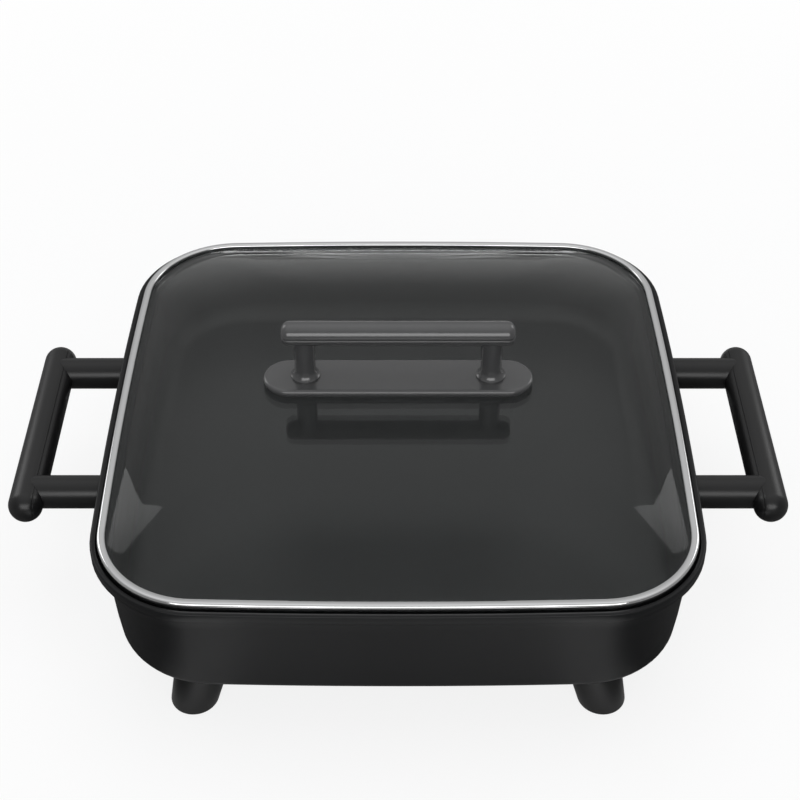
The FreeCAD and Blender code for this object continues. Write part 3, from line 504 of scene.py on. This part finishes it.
class Wardrobe:
    """Every finish of the pot, made once and kept under the record's slot names, with a lighter copy of the
    black moulding as painted light on the lid handle.
    """

    def __init__(self) -> None:
        """Makes the materials."""
        plated = Metal("plated_steel", colour=(0.62, 0.62, 0.63), roughness=0.24, streak=EVEN,
                       streak_scale=500.0, streak_depth=0.00001).make()
        self.by_slot = {
            "cast_body": Coating().make(),
            "moulded_black": Satin(
                "satin_moulding", dark=(0.0042, 0.0042, 0.0044), light=(0.0072, 0.0072, 0.0075),
                roughness=0.32, grain_scale=900.0, grain_depth=0.000006, specular=0.55).make(),
            "seal_rubber": Satin(
                "seal_rubber", dark=(0.012, 0.012, 0.012), light=(0.022, 0.022, 0.022),
                roughness=0.78, grain_scale=900.0, grain_depth=0.00006).make(),
            "ceramic": Satin(
                "bush_ceramic", dark=(0.66, 0.63, 0.58), light=(0.78, 0.75, 0.7),
                roughness=0.35, grain_scale=1200.0, grain_depth=0.00003, specular=0.5).make(),
            "cover_sheet": Satin(
                "cover_paint", dark=(0.012, 0.012, 0.013), light=(0.02, 0.02, 0.021),
                roughness=0.5, grain_scale=380.0, grain_depth=0.00005).make(),
            "polished_steel": Metal(
                "polished_steel", colour=(0.9, 0.905, 0.91), roughness=0.09, streak=(1.0, 1.0, 30.0),
                streak_scale=60.0, streak_depth=0.000003).make(),
            "heater_sheath": Metal(
                "heater_sheath", colour=(0.27, 0.255, 0.24), roughness=0.5, streak=EVEN,
                streak_scale=300.0, streak_depth=0.00002).make(),
            "reflector_sheet": Metal(
                "reflector_sheet", colour=(0.74, 0.745, 0.75), roughness=0.22, streak=(1.0, 24.0, 1.0),
                streak_scale=40.0, streak_depth=0.00001).make(),
            "lid_glass": ClearGlass().make(),
            "fastener_steel": plated,
            "terminal_steel": plated,
        }
        # A lighter copy of the black moulding for the lid handle: painted light, standing for the highlights
        # that the handle catches.
        self.handle_painted_light = Satin(
            "graphite_moulding", dark=(0.05, 0.05, 0.051), light=(0.064, 0.064, 0.065), roughness=0.2,
            grain_scale=700.0, grain_depth=0.000003, spread=0.04, specular=1.0, patch_scale=60.0).make()

    def dress(self, piece: bpy.types.Object, slot: str) -> None:
        """Gives a piece the finish of a slot in place of any it has. The lid handle's black mouldings get the
        lighter copy with painted light instead.

        Args:
            piece: the piece.
            slot: the record's slot.
        """
        piece.data.materials.clear()
        # The lid handle takes the lighter copy, whose lighter colour is painted light.
        lid_handle = slot == "moulded_black" and piece.name.startswith(LID_HANDLE)
        piece.data.materials.append(self.handle_painted_light if lid_handle else self.by_slot[slot])


# Meshes

@dataclass(frozen=True)
class Outline:
    """A square with rounded corners and sides that bow out a little, in millimetres."""

    half: float
    corner: float
    bow: float = 3300.0

    def inset(self, distance: float) -> "Outline":
        """The outline a distance further in.

        Args:
            distance: how far.

        Returns:
            The smaller outline.
        """
        return Outline(self.half - distance, self.corner - distance, self.bow - distance)

    def ring(self, high: float, side_steps: int = 12, corner_steps: int = 16) -> Ring:
        """Points round the outline at a height.

        Args:
            high: the height in millimetres.
            side_steps: steps along each side.
            corner_steps: steps round each corner.

        Returns:
            The points in metres, anticlockwise.
        """
        reach = self.bow - self.half
        middle = (math.sqrt(2 * (self.bow - self.corner) ** 2 - reach ** 2) - reach) / 2
        lean = math.atan2(middle, middle + reach)
        quarter = [(-reach, 0.0, self.bow, -lean + 2 * lean * step / side_steps)
                   for step in range(side_steps)]
        turn = math.pi / 2 - 2 * lean
        quarter += [(middle, middle, self.corner, lean + turn * step / corner_steps)
                    for step in range(corner_steps)]
        points = []
        for count in range(4):
            spin = Matrix.Rotation(count * math.pi / 2, 3, "Z")
            for across, along, radius, angle in quarter:
                spot = Vector((across + radius * math.cos(angle), along + radius * math.sin(angle), 0.0))
                points.append((spin @ spot + Vector((0.0, 0.0, high))) * MM)
        return points


def between(low: Ring, high: Ring, share: float) -> Ring:
    """A ring part of the way from one to another.

    Args:
        low: the ring at 0.
        high: the ring at 1.
        share: how far along.

    Returns:
        The points.
    """
    return [first.lerp(second, share) for first, second in zip(low, high)]


def arc(radius: float, start: float, stop: float, steps: int) -> list[Pair]:
    """Points on an arc about the origin.

    Args:
        radius: its radius.
        start: its first angle in degrees.
        stop: its last angle in degrees.
        steps: how many steps it takes.

    Returns:
        Pairs of sideways and upward distance.
    """
    angles = [math.radians(start + (stop - start) * step / steps) for step in range(steps + 1)]
    return [(radius * math.cos(angle), radius * math.sin(angle)) for angle in angles]


def weave(mesh: bmesh.types.BMesh, rings: Sequence[Ring], loop: bool = False, first_cap: bool = False,
          last_cap: bool = False) -> None:
    """Adds the surface through rings of equal length.

    Args:
        mesh: the mesh that it goes into.
        rings: the rings in order.
        loop: whether the last ring joins the first.
        first_cap: whether the first ring is filled.
        last_cap: whether the last ring is filled.
    """
    rows = [[mesh.verts.new(point) for point in ring] for ring in rings]
    count = len(rows[0])
    for lower, upper in zip(rows, rows[1:] + (rows[:1] if loop else [])):
        for index in range(count):
            after = (index + 1) % count
            mesh.faces.new((lower[index], lower[after], upper[after], upper[index]))
    if first_cap:
        mesh.faces.new(rows[0][::-1])
    if last_cap:
        mesh.faces.new(rows[-1])


def lathe(mesh: bmesh.types.BMesh, profile: Sequence[Pair], frame: Matrix, steps: int = 48) -> None:
    """Adds a turned form, filled at both ends.

    Args:
        mesh: the mesh that it goes into.
        profile: radius and height pairs in millimetres.
        frame: where the turning axis, its own Z, stands.
        steps: steps round the axis.
    """
    rings = []
    for radius, high in profile:
        spots = arc(radius, 0.0, 360.0, steps)[:-1]
        rings.append([frame @ (Vector((across, along, high)) * MM) for across, along in spots])
    weave(mesh, rings, first_cap=True, last_cap=True)


def close_gap(mesh: bmesh.types.BMesh, axis: int, level: float) -> None:
    """Fills the gap that a mesh's open edges leave in a plane, where they form one chain or loop.

    Args:
        mesh: the mesh.
        axis: the plane's normal, as the number of a coordinate.
        level: where the plane is, in metres.
    """
    open_edges = [edge for edge in mesh.edges
                  if edge.is_boundary and all(abs(vert.co[axis] - level) < PLANE_NEAR for vert in edge.verts)]
    links: dict[bmesh.types.BMVert, list[bmesh.types.BMVert]] = {}
    for edge in open_edges:
        first, second = edge.verts
        links.setdefault(first, []).append(second)
        links.setdefault(second, []).append(first)
    start = next((vert for vert, others in links.items() if len(others) == 1), next(iter(links)))
    chain = [start]
    while True:
        onward = [vert for vert in links[chain[-1]] if vert not in chain[-2:] and vert is not start]
        if not onward:
            break
        chain.append(onward[0])
    mesh.faces.new(chain)


def split_section(radius: float, cut: float, soft: float, steps: int = 28) -> list[Pair]:
    """The section of a round bar on one side of a cut, its two sharp corners softened.

    Args:
        radius: the bar's radius.
        cut: the least sideways distance that is kept.
        soft: how far the corners are eased.
        steps: steps round the arc.

    Returns:
        Sideways and upward distances, as many for any radius.
    """
    reach = math.degrees(math.acos(max(-1.0, min(1.0, cut / radius))))
    ease = min(math.degrees(soft / radius), reach / 3)
    line = radius * math.cos(math.radians(reach))
    half = radius * math.sin(math.radians(reach))
    inner = max(half - soft, half / 2)
    step_in = CORNER_SHARE * min(soft, half)
    corner = (line + step_in, half - step_in)
    return (arc(radius, ease - reach, reach - ease, steps)
            + [corner, (line, inner), (line, -inner), (corner[0], -corner[1])])


@dataclass(frozen=True)
class SplitBar:
    """A round bar made of two mouldings, with rounded ends."""

    radius: float
    half_long: float
    end_round: float
    soft: float = 0.35
    end_angle: float = 86.0
    cut_margin: float = 1.0
    end_steps: int = 12

    def stations(self, cut: float) -> list[Pair]:
        """Places along the bar with its radius there.

        Args:
            cut: the least sideways distance that is kept; a bar that is thinner than this ends.

        Returns:
            Pairs of place and radius, from end to end.
        """
        last = self.end_angle
        core = self.radius - self.end_round
        if cut > core:
            last = math.degrees(math.acos((cut - core) / self.end_round)) - self.cut_margin
        end = [(self.half_long - self.end_round + up, core + sideways)
               for sideways, up in arc(self.end_round, 0.0, last, self.end_steps)]
        return [(-place, radius) for place, radius in end[::-1]] + end

    def half(self, cut: float, frame: Matrix) -> bmesh.types.BMesh:
        """One of the bar's two mouldings.

        Args:
            cut: the least sideways distance that is kept.
            frame: turns sideways, upward and lengthwise distances into places.

        Returns:
            Its mesh.
        """
        mesh = bmesh.new()
        rings = [[frame @ (Vector((sideways, up, place)) * MM)
                  for sideways, up in split_section(radius, cut, self.soft)]
                 for place, radius in self.stations(cut)]
        weave(mesh, rings, first_cap=True, last_cap=True)
        bmesh.ops.remove_doubles(mesh, verts=mesh.verts[:], dist=POINT_NEAR)
        return mesh


def to_piece(name: str, mesh: bmesh.types.BMesh, body: Body, slot: str, stands_for: Sequence[str],
             finishes: Wardrobe) -> bpy.types.Object:
    """Turns a mesh into a dressed piece that stands for nodes of the frame.

    Args:
        name: the piece's name.
        mesh: its mesh, which is freed.
        body: what it rides on.
        slot: the record's slot.
        stands_for: the nodes that it replaces.
        finishes: the materials.

    Returns:
        The piece.
    """
    bmesh.ops.recalc_face_normals(mesh, faces=mesh.faces)
    for face in mesh.faces:
        face.smooth = True
    data = bpy.data.meshes.new(name)
    mesh.to_mesh(data)
    mesh.free()
    piece = bpy.data.objects.new(name, data)
    bpy.context.scene.collection.objects.link(piece)
    finishes.dress(piece, slot)
    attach(piece, body.value)
    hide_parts(*stands_for)
    log.info("made %s for %s", name, ", ".join(stands_for))
    return piece


# Sub-assemblies

@dataclass(frozen=True)
class PanCasting:
    """The cast pan, swept from one profile, with the bosses that carry the grips."""

    rim: Outline = Outline(165.0, 60.0)
    neck: Outline = Outline(157.4, 48.0)
    base: Outline = Outline(155.6, 55.4)
    base_low: float = 27.4
    band_low: float = 89.0
    rim_top: float = 95.0
    ledge_top: float = 91.0
    shoulder_low: float = 87.5
    floor_top: float = 45.0
    floor_low: float = 40.0
    skirt: float = 7.6
    wall: float = 4.4
    lip: float = 3.0
    ledge_edge: float = 7.5
    base_round: float = 5.5
    rim_round: float = 1.2
    cavity_round: float = 12.0
    soft: float = 0.5
    boss_radius: float = 10.4
    boss_face: float = 160.0
    boss_root: float = 153.0
    boss_pitch: float = 105.0
    boss_high: float = 75.5
    notch_half: float = 34.3
    notch_from: float = 147.0
    outer_levels: Sequence[float] = (45.0, 60.0, 75.0)
    inner_levels: Sequence[float] = (75.0, 66.0)
    floor_steps: Sequence[float] = (2.0, 12.0)
    shoulder_step: float = 2.0
    ledge_step: float = 0.3
    base_steps: int = 8
    rim_steps: int = 5
    cavity_steps: int = 10

    def _wall(self, inset: float, high: float, share: Optional[float] = None) -> Ring:
        """A ring on the tapered wall.

        Args:
            inset: the distance in from its outer face.
            high: the ring's height.
            share: how far it is from the base's outline to the neck's, by its height unless given.

        Returns:
            The points.
        """
        share = (high - self.base_low) / (self.band_low - self.base_low) if share is None else share
        return between(self.base.inset(inset).ring(high), self.neck.inset(inset).ring(high), share)

    def _outside(self) -> list[Ring]:
        """The pan's outer face.

        Returns:
            The rings from the recess over the foot of the skirt and up to the lip.
        """
        soft = self.soft
        rings = [self.base.inset(self.skirt).ring(self.floor_low),
                 self.base.inset(self.skirt).ring(self.base_low + soft),
                 self.base.inset(self.skirt - soft).ring(self.base_low)]
        for sideways, up in arc(self.base_round, -90.0, 0.0, self.base_steps):
            rings.append(self._wall(self.base_round - sideways, self.base_low + self.base_round + up, 0.0))
        rings += [self._wall(0.0, high) for high in (*self.outer_levels, self.band_low - soft)]
        rings += [self.neck.inset(-soft).ring(self.band_low), self.rim.inset(soft).ring(self.band_low),
                  self.rim.ring(self.band_low + soft)]
        for sideways, up in arc(self.rim_round, 0.0, 90.0, self.rim_steps):
            rings.append(self.rim.inset(self.rim_round - sideways).ring(self.rim_top - self.rim_round + up))
        return rings

    def _inside(self) -> list[Ring]:
        """The pan's inner face.

        Returns:
            The rings from the lip over the ledge and the shoulder and down to the floor.
        """
        soft = self.soft
        steps = [(self.lip - soft, self.rim_top), (self.lip, self.rim_top - soft),
                 (self.lip, self.ledge_top + soft), (self.lip + soft, self.ledge_top),
                 (self.ledge_edge - soft, self.ledge_top),
                 (self.ledge_edge + self.ledge_step * soft, self.ledge_top - soft)]
        rings = [self.rim.inset(inset).ring(high) for inset, high in steps]
        rings += [self._wall(self.wall, self.shoulder_low, 1.0),
                  self._wall(self.wall, self.shoulder_low - self.shoulder_step)]
        rings += [self._wall(self.wall, high) for high in self.inner_levels]
        for sideways, up in arc(self.cavity_round, 0.0, -90.0, self.cavity_steps):
            rings.append(self._wall(self.wall + self.cavity_round - sideways,
                                    self.floor_top + self.cavity_round + up, 0.0))
        rings += [self._wall(self.wall + self.cavity_round + step, self.floor_top, 0.0)
                  for step in self.floor_steps]
        return rings

    def build(self, finishes: Wardrobe) -> None:
        """Builds the casting and opens its skirt for the terminal block.

        Args:
            finishes: the materials.
        """
        mesh = bmesh.new()
        weave(mesh, self._outside() + self._inside(), first_cap=True, last_cap=True)
        self._open_notch(mesh)
        profile = [(self.boss_radius, self.boss_root), (self.boss_radius, self.boss_face - self.soft),
                   (self.boss_radius - self.soft, self.boss_face)]
        for right in (1, -1):
            turn = Matrix.Rotation(right * math.pi / 2, 4, "Y")
            for up in (1, -1):
                spot = Matrix.Translation(Vector((0.0, up * self.boss_pitch / 2, self.boss_high)) * MM)
                lathe(mesh, profile, spot @ turn)
        to_piece("pan_casting", mesh, Body.POT, "cast_body", ["pan"], finishes)

    def _open_notch(self, mesh: bmesh.types.BMesh) -> None:
        """Cuts the opening for the terminal block out of the skirt, by planes, and closes its edges.

        Args:
            mesh: the casting's mesh.
        """
        for spot, normal in (((0.0, self.notch_half, 0.0), (0.0, 1.0, 0.0)),
                             ((0.0, -self.notch_half, 0.0), (0.0, 1.0, 0.0)),
                             ((0.0, 0.0, self.floor_low), (0.0, 0.0, 1.0))):
            bmesh.ops.bisect_plane(mesh, geom=mesh.verts[:] + mesh.edges[:] + mesh.faces[:],
                                   plane_co=Vector(spot) * MM, plane_no=normal, dist=CUT_NEAR)
        reach, half, high = self.notch_from * MM, self.notch_half * MM, self.floor_low * MM
        gone = [face for face in mesh.faces
                if (centre := face.calc_center_median()).x > reach and abs(centre.y) < half
                and centre.z < high - BELOW_NEAR]
        bmesh.ops.delete(mesh, geom=gone, context="FACES")
        close_gap(mesh, 1, half)
        close_gap(mesh, 1, -half)
        close_gap(mesh, 2, high)


@dataclass(frozen=True)
class Undercarriage:
    """The four leaning feet."""

    across: float = 105.5
    along: float = 131.5
    lean: float = 6.5
    top_radius: float = 15.2
    low_radius: float = 13.2
    top_high: float = 27.4
    low_high: float = 0.8
    rounding: float = 1.6
    flat_share: float = 0.002
    leg_shares: Sequence[float] = (0.3, 0.6)
    round_steps: int = 6
    steps: int = 56

    def build(self, finishes: Wardrobe) -> None:
        """Builds the feet.

        Args:
            finishes: the materials.
        """
        for end, up in (("front", -1), ("rear", 1)):
            for side, right in (("left", -1), ("right", 1)):
                mesh = bmesh.new()
                weave(mesh, self._rings(right, up), first_cap=True, last_cap=True)
                name = "%s_%s" % (end, side)
                to_piece("moulded_foot_" + name, mesh, Body.POT, "moulded_black", ["foot_" + name], finishes)

    def _rings(self, right: int, up: int) -> list[Ring]:
        """One foot's surface.

        Args:
            right: 1 at the right, -1 at the left.
            up: 1 at the rear, -1 at the front.

        Returns:
            The rings from its flat top down to its rounded end.
        """
        levels = [(self.top_radius, 0.0), (self.top_radius, self.flat_share)]
        levels += [(self.top_radius + (self.low_radius - self.top_radius) * share, share)
                   for share in self.leg_shares]
        tall = self.top_high - self.low_high
        for sideways, down in arc(self.rounding, 0.0, 90.0, self.round_steps):
            levels.append((self.low_radius - self.rounding + sideways, 1.0 - (self.rounding - down) / tall))
        rings = []
        for radius, share in levels:
            middle = Vector((right * (self.across + self.lean * share), up * (self.along + self.lean * share),
                             self.top_high - tall * share))
            spots = arc(radius, 0.0, 360.0, self.steps)[:-1]
            rings.append([(middle + Vector((across, along, 0.0))) * MM for across, along in spots])
        return rings


@dataclass(frozen=True)
class GlassLid:
    """The domed glass in its rolled steel rim."""

    outer: Outline = Outline(161.0, 56.0, 3296.0)
    seat: float = 91.0
    tall: float = 7.5
    sheet: float = 1.0
    wide: float = 4.5
    glass_low: float = 92.05
    glass_thick: float = 4.0
    edge_gap: float = 1.3
    dome_start: float = 5.0
    dome_flat: Outline = Outline(82.0, 30.0, 3296.0)
    dome_rise: float = 16.4
    dome_inset: float = 1.5
    dome_steps: int = 14
    low_roll: float = 1.2
    low_steps: int = 5
    top_roll: float = 1.6
    top_steps: int = 7
    corner_steps: int = 24
    glass_gap: float = 0.05
    soft: float = 0.35
    glass_soft: float = 0.5
    middle_inset: float = 12.0

    def build(self, finishes: Wardrobe) -> None:
        """Builds the rim and the glass.

        Args:
            finishes: the materials.
        """
        mesh = bmesh.new()
        rings = [self.outer.inset(inset).ring(high, corner_steps=self.corner_steps)
                 for inset, high in self._rim_profile()]
        weave(mesh, rings, loop=True)
        to_piece("rolled_rim", mesh, Body.LID, "polished_steel", ["lid_rim"], finishes)
        mesh = bmesh.new()
        weave(mesh, self._glass_rings(), first_cap=True, last_cap=True)
        to_piece("domed_glass", mesh, Body.LID, "lid_glass", ["lid_glass"], finishes)

    def _rim_profile(self) -> list[Pair]:
        """The rim's section, a channel that is open inwards.

        Returns:
            Pairs of inset and height, from its lower lip round the outside and back through the channel.
        """
        low, top, soft = self.seat, self.seat + self.tall, self.soft
        profile = [(self.wide, low + soft), (self.wide - soft, low)]
        profile += [(self.low_roll - sideways, low + self.low_roll - up)
                    for sideways, up in arc(self.low_roll, 90.0, 0.0, self.low_steps)]
        profile += [(0.0, low + self.tall / 2)]
        profile += [(self.top_roll - sideways, top - self.top_roll + up)
                    for sideways, up in arc(self.top_roll, 0.0, 90.0, self.top_steps)]
        profile += [(self.wide - 2 * soft, top), (self.wide - soft / 3, top - soft),
                    (self.wide, top - 3 * soft)]
        under = self.glass_low + self.glass_thick + self.glass_gap
        profile += [(self.wide, under + soft / 2), (self.wide - soft / 2, under), (self.sheet, under)]
        profile += [(self.sheet, low + self.sheet), (self.wide - soft / 2, low + self.sheet)]
        return profile

    def _dome(self, start: Outline, high: float) -> list[Ring]:
        """One face of the dome, which rises ever more gently.

        Args:
            start: its outline at the edge.
            high: its height at the edge.

        Returns:
            The rings from its edge to its flat middle.
        """
        rings = []
        edge, flat = start.ring(high), self.dome_flat.ring(high)
        for step in range(self.dome_steps + 1):
            share = step / self.dome_steps
            lift = Vector((0.0, 0.0, self.dome_rise * (1 - (1 - share) ** 2))) * MM
            rings.append([point + lift for point in between(edge, flat, share)])
        return rings

    def _glass_rings(self) -> list[Ring]:
        """The glass's surface.

        Returns:
            The rings from the middle of its underside round its ground edge to the middle of its top.
        """
        start = self.outer.inset(self.dome_start)
        low, top, soft = self.glass_low, self.glass_low + self.glass_thick, self.glass_soft
        under = self._dome(start.inset(self.dome_inset), low)
        edge = [(self.edge_gap + soft, low), (self.edge_gap, low + soft), (self.edge_gap, top - soft),
                (self.edge_gap + soft, top)]
        middle = self.dome_flat.inset(self.middle_inset)
        return ([middle.ring(low + self.dome_rise)] + under[::-1]
                + [self.outer.inset(inset).ring(high) for inset, high in edge]
                + self._dome(start, top) + [middle.ring(top + self.dome_rise)])


@dataclass(frozen=True)
class HandlePlate:
    """The slot-shaped plate under the lid's handle, crowned at its edge."""

    half_long: float = 77.0
    radius: float = 15.0
    low: float = 113.25
    tall: float = 4.0
    crown: float = 2.2
    crown_from: float = 15.0
    crown_steps: int = 6
    foot_ease: float = 0.3
    top_step: float = 1.0
    end_steps: int = 24

    def build(self, finishes: Wardrobe) -> None:
        """Builds the plate.

        Args:
            finishes: the materials.
        """
        levels = [(self.foot_ease, self.low), (0.0, self.low + self.foot_ease),
                  (0.0, self.low + self.tall - self.crown)]
        levels += [(self.crown - sideways, self.low + self.tall - self.crown + up)
                   for sideways, up in arc(self.crown, self.crown_from, 90.0, self.crown_steps)]
        levels += [(self.crown + self.top_step, self.low + self.tall)]
        mesh = bmesh.new()
        weave(mesh, [self._ring(inset, high) for inset, high in levels], first_cap=True, last_cap=True)
        to_piece("handle_plate", mesh, Body.LID, "moulded_black", ["lid_handle_plate"], finishes)

    def _ring(self, inset: float, high: float) -> Ring:
        """The plate's outline.

        Args:
            inset: the distance in from its edge.
            high: its height.

        Returns:
            The points.
        """
        shift = self.half_long - self.radius
        ring = []
        for right, start in ((1, -90.0), (-1, 90.0)):
            ring += [Vector((right * shift + across, along, high)) * MM
                     for across, along in arc(self.radius - inset, start, start + 180.0, self.end_steps)]
        return ring


@dataclass(frozen=True)
class SideGrips:
    """The bar of each side grip: an outer moulding and an inner strip that meet in a fine groove."""

    bar: SplitBar = SplitBar(9.6, 72.6, 9.6)
    reach: float = 207.5
    high: float = 75.5
    split: float = 5.2

    def build(self, finishes: Wardrobe) -> None:
        """Builds both bars.

        Args:
            finishes: the materials.
        """
        for side, right in (("left", -1.0), ("right", 1.0)):
            place = Matrix.Translation(Vector((right * self.reach, 0.0, self.high)) * MM)
            for name, way, cut in (("outer", right, -self.split), ("inner", -right, self.split)):
                turn = Matrix(((way, 0.0, 0.0), (0.0, 0.0, 1.0), (0.0, 1.0, 0.0))).to_4x4()
                half = self.bar.half(cut, place @ turn)
                node = "%s_grip_%s" % (side, name)
                to_piece(node + "_moulding", half, Body.POT, "moulded_black", [node], finishes)


@dataclass(frozen=True)
class LidBar:
    """The bar of the lid's handle, split at mid height."""

    bar: SplitBar = SplitBar(7.1, 65.5, 4.6, 0.8)
    high: float = 147.25

    def build(self, finishes: Wardrobe) -> None:
        """Builds the bar's two mouldings.

        Args:
            finishes: the materials.
        """
        place = Matrix.Translation(Vector((0.0, 0.0, self.high)) * MM)
        for name, way in (("lower", -1.0), ("upper", 1.0)):
            turn = Matrix(((0.0, 0.0, 1.0), (0.0, 1.0, 0.0), (way, 0.0, 0.0))).to_4x4()
            half = self.bar.half(0.0, place @ turn)
            node = "lid_bar_" + name
            to_piece(node + "_moulding", half, Body.LID, "moulded_black", [node], finishes)


# Studio

@dataclass(frozen=True)
class Lamp:
    """A flat lamp that looks at a target."""

    name: str
    place: Point
    target: Point
    width: float
    tall: float
    power: float
    mirrored: bool = False

    def build(self) -> None:
        """Hangs the lamp."""
        light = bpy.data.lights.new(self.name, "AREA")
        light.shape = "RECTANGLE"
        light.size = self.width
        light.size_y = self.tall
        light.energy = self.power
        lamp = bpy.data.objects.new(self.name, light)
        lamp.location = self.place
        lamp.rotation_euler = (Vector(self.target) - Vector(self.place)).to_track_quat("-Z", "Y").to_euler()
        lamp.visible_glossy = self.mirrored
        lamp.visible_transmission = False
        bpy.context.scene.collection.objects.link(lamp)


@dataclass(frozen=True)
class Studio:
    """A pale floor and backdrop, soft lamps and the photograph's camera."""

    camera_place: Point = (0.00104, -0.7263, 0.7135)
    camera_pitch: float = 49.75
    lens: float = 74.2
    sensor: float = 36.0
    floor_half: float = 4.0
    floor_white: Sequence[Pair] = ((0.0, 0.84), (0.4, 0.84), (0.9, 1.0))
    floor_dark: Sequence[Pair] = ((0.0, 0.45), (0.17, 0.35), (0.2, 0.0), (0.25, 0.0), (0.3, 0.9), (1.0, 0.7))
    dark_scale: float = 2.0
    paper_dark: Colour = (0.9, 0.9, 0.9)
    paper_light: Colour = (0.93, 0.93, 0.93)
    paper_scale: float = 3.0
    paper_roughness: float = 0.95
    ambient: float = 0.4
    ambient_colour: Colour = (0.96, 0.98, 1.0)
    sky: Sequence[Pair] = ((0.5, 0.4), (0.62, 0.45), (0.74, 0.4), (0.86, 0.6), (0.95, 0.9), (1.0, 0.9))
    sky_front: float = 0.35
    lamps: Sequence[Lamp] = field(default_factory=lambda: (
        Lamp("lamp_top", (0.0, 0.25, 1.5), (0.0, 0.0, 0.05), 1.3, 1.3, 11.0),
        Lamp("lamp_front", (0.0, -1.4, 0.85), (0.0, 0.0, 0.06), 1.7, 0.7, 9.0, True),
        Lamp("lamp_left", (-1.1, 0.75, 0.75), (0.0, 0.0, 0.06), 0.5, 0.8, 1.8, True),
        Lamp("lamp_right", (1.1, 0.75, 0.75), (0.0, 0.0, 0.06), 0.5, 0.8, 1.8, True),
    ))

    def build(self) -> None:
        """Sets up the world, the floor, the lamps and the camera."""
        bpy.context.scene.view_settings.view_transform = "Standard"
        self._world()
        self._floor()
        for lamp in self.lamps:
            lamp.build()
        self._camera()

    def _world(self) -> None:
        """Makes the surroundings: white to the eye, plain for light, and graded in reflections."""
        world = bpy.data.worlds.new("studio_world")
        bpy.context.scene.world = world
        recipe = Recipe(world)
        way = recipe.node("ShaderNodeTexCoord", out="Generated")
        high = self._share(recipe.axis("Z", way))
        back = self._share(recipe.axis("Y", way)) * (1.0 - self.sky_front) + self.sky_front
        sky = recipe.node("ShaderNodeValToRGB", {"stops": self.sky}, {0: high})
        light = recipe.node("ShaderNodeBackground", {},
                            {"Color": (*self.ambient_colour, 1.0), "Strength": self.ambient})
        mirrored = recipe.node("ShaderNodeBackground", {}, {"Color": sky, "Strength": back})
        white = recipe.node("ShaderNodeBackground", {}, {"Color": WHITE})
        lit = recipe.mixed(self._bounced(recipe), light, mirrored)
        recipe.finish(recipe.mixed(self._direct(recipe), lit, white))

    @staticmethod
    def _share(coordinate: Shade) -> Shade:
        """Turns a direction's coordinate, from -1 to 1, into a share from 0 to 1.

        Args:
            coordinate: the coordinate.

        Returns:
            The share.
        """
        return coordinate * 0.5 + 0.5

    @staticmethod
    def _direct(recipe: Recipe) -> Shade:
        """1 for what the eye sees, also through glass, but not in a mirror image.

        Args:
            recipe: the recipe that it goes into.

        Returns:
            The mask.
        """
        return recipe.seen_by("Is Camera Ray", "Is Transmission Ray") * (1.0 - Studio._bounced(recipe))

    @staticmethod
    def _bounced(recipe: Recipe) -> Shade:
        """1 for what is seen in a mirror image, also through glass.

        Args:
            recipe: the recipe that it goes into.

        Returns:
            The mask. The depth counts whole reflections, so over a half means one or more.
        """
        return recipe.node("ShaderNodeLightPath", out="Glossy Depth").above(0.5)

    def _floor(self) -> None:
        """Makes the floor, near white to the eye under a faint shadow, and dark in parts in reflections."""
        half = self.floor_half
        mesh = bpy.data.meshes.new("studio_floor")
        mesh.from_pydata([(-half, -half, 0.0), (half, -half, 0.0), (half, half, 0.0), (-half, half, 0.0)], [],
                         [(0, 1, 2, 3)])
        floor = bpy.data.objects.new("studio_floor", mesh)
        bpy.context.scene.collection.objects.link(floor)
        recipe = new_recipe("floor_paper")
        colour = recipe.blend(recipe.noise(self.paper_scale, FINE_OCTAVES), self.paper_dark, self.paper_light)
        lit = recipe.principled(Base_Color=colour, Roughness=self.paper_roughness, Specular_IOR_Level=0.0)
        seen = recipe.node("ShaderNodeEmission", {}, {"Color": WHITE})
        dark = recipe.node("ShaderNodeEmission", {}, {"Color": BLACK})
        sideways = abs(recipe.axis("X")) * self.dark_scale
        aside = recipe.node("ShaderNodeValToRGB", {"stops": self.floor_dark}, {0: sideways})
        surface = recipe.mixed(self._bounced(recipe) * aside, lit, dark)
        reach = recipe.node("ShaderNodeVectorMath", {"operation": "LENGTH"}, {0: recipe.place()}, "Value")
        white = recipe.node("ShaderNodeValToRGB", {"stops": self.floor_white}, {0: reach})
        whole = recipe.mixed(self._direct(recipe) * white, surface, seen)
        floor.data.materials.append(recipe.finish(whole))

    def _camera(self) -> None:
        """Places the camera as it stood for the photograph."""
        data = bpy.data.cameras.new("photo_camera")
        data.lens = self.lens
        data.sensor_width = self.sensor
        camera = bpy.data.objects.new("photo_camera", data)
        camera.location = self.camera_place
        camera.rotation_euler = (math.radians(self.camera_pitch), 0.0, 0.0)
        bpy.context.scene.collection.objects.link(camera)
        bpy.context.scene.camera = camera


def main() -> None:
    """Builds the pot's looks round the frame."""
    logging.basicConfig(level=logging.INFO, format="%(message)s")
    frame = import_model()
    finishes = Wardrobe()
    slots = {row["node"]: row["material_slot"] for row in frame["record"]["subparts"]}
    for name, node in frame["nodes"].items():
        finishes.dress(node, slots[name])
    for assembly in (PanCasting(), Undercarriage(), SideGrips(), GlassLid(), HandlePlate(), LidBar()):
        assembly.build(finishes)
    Studio().build()


if __name__ == "__main__":
    main()
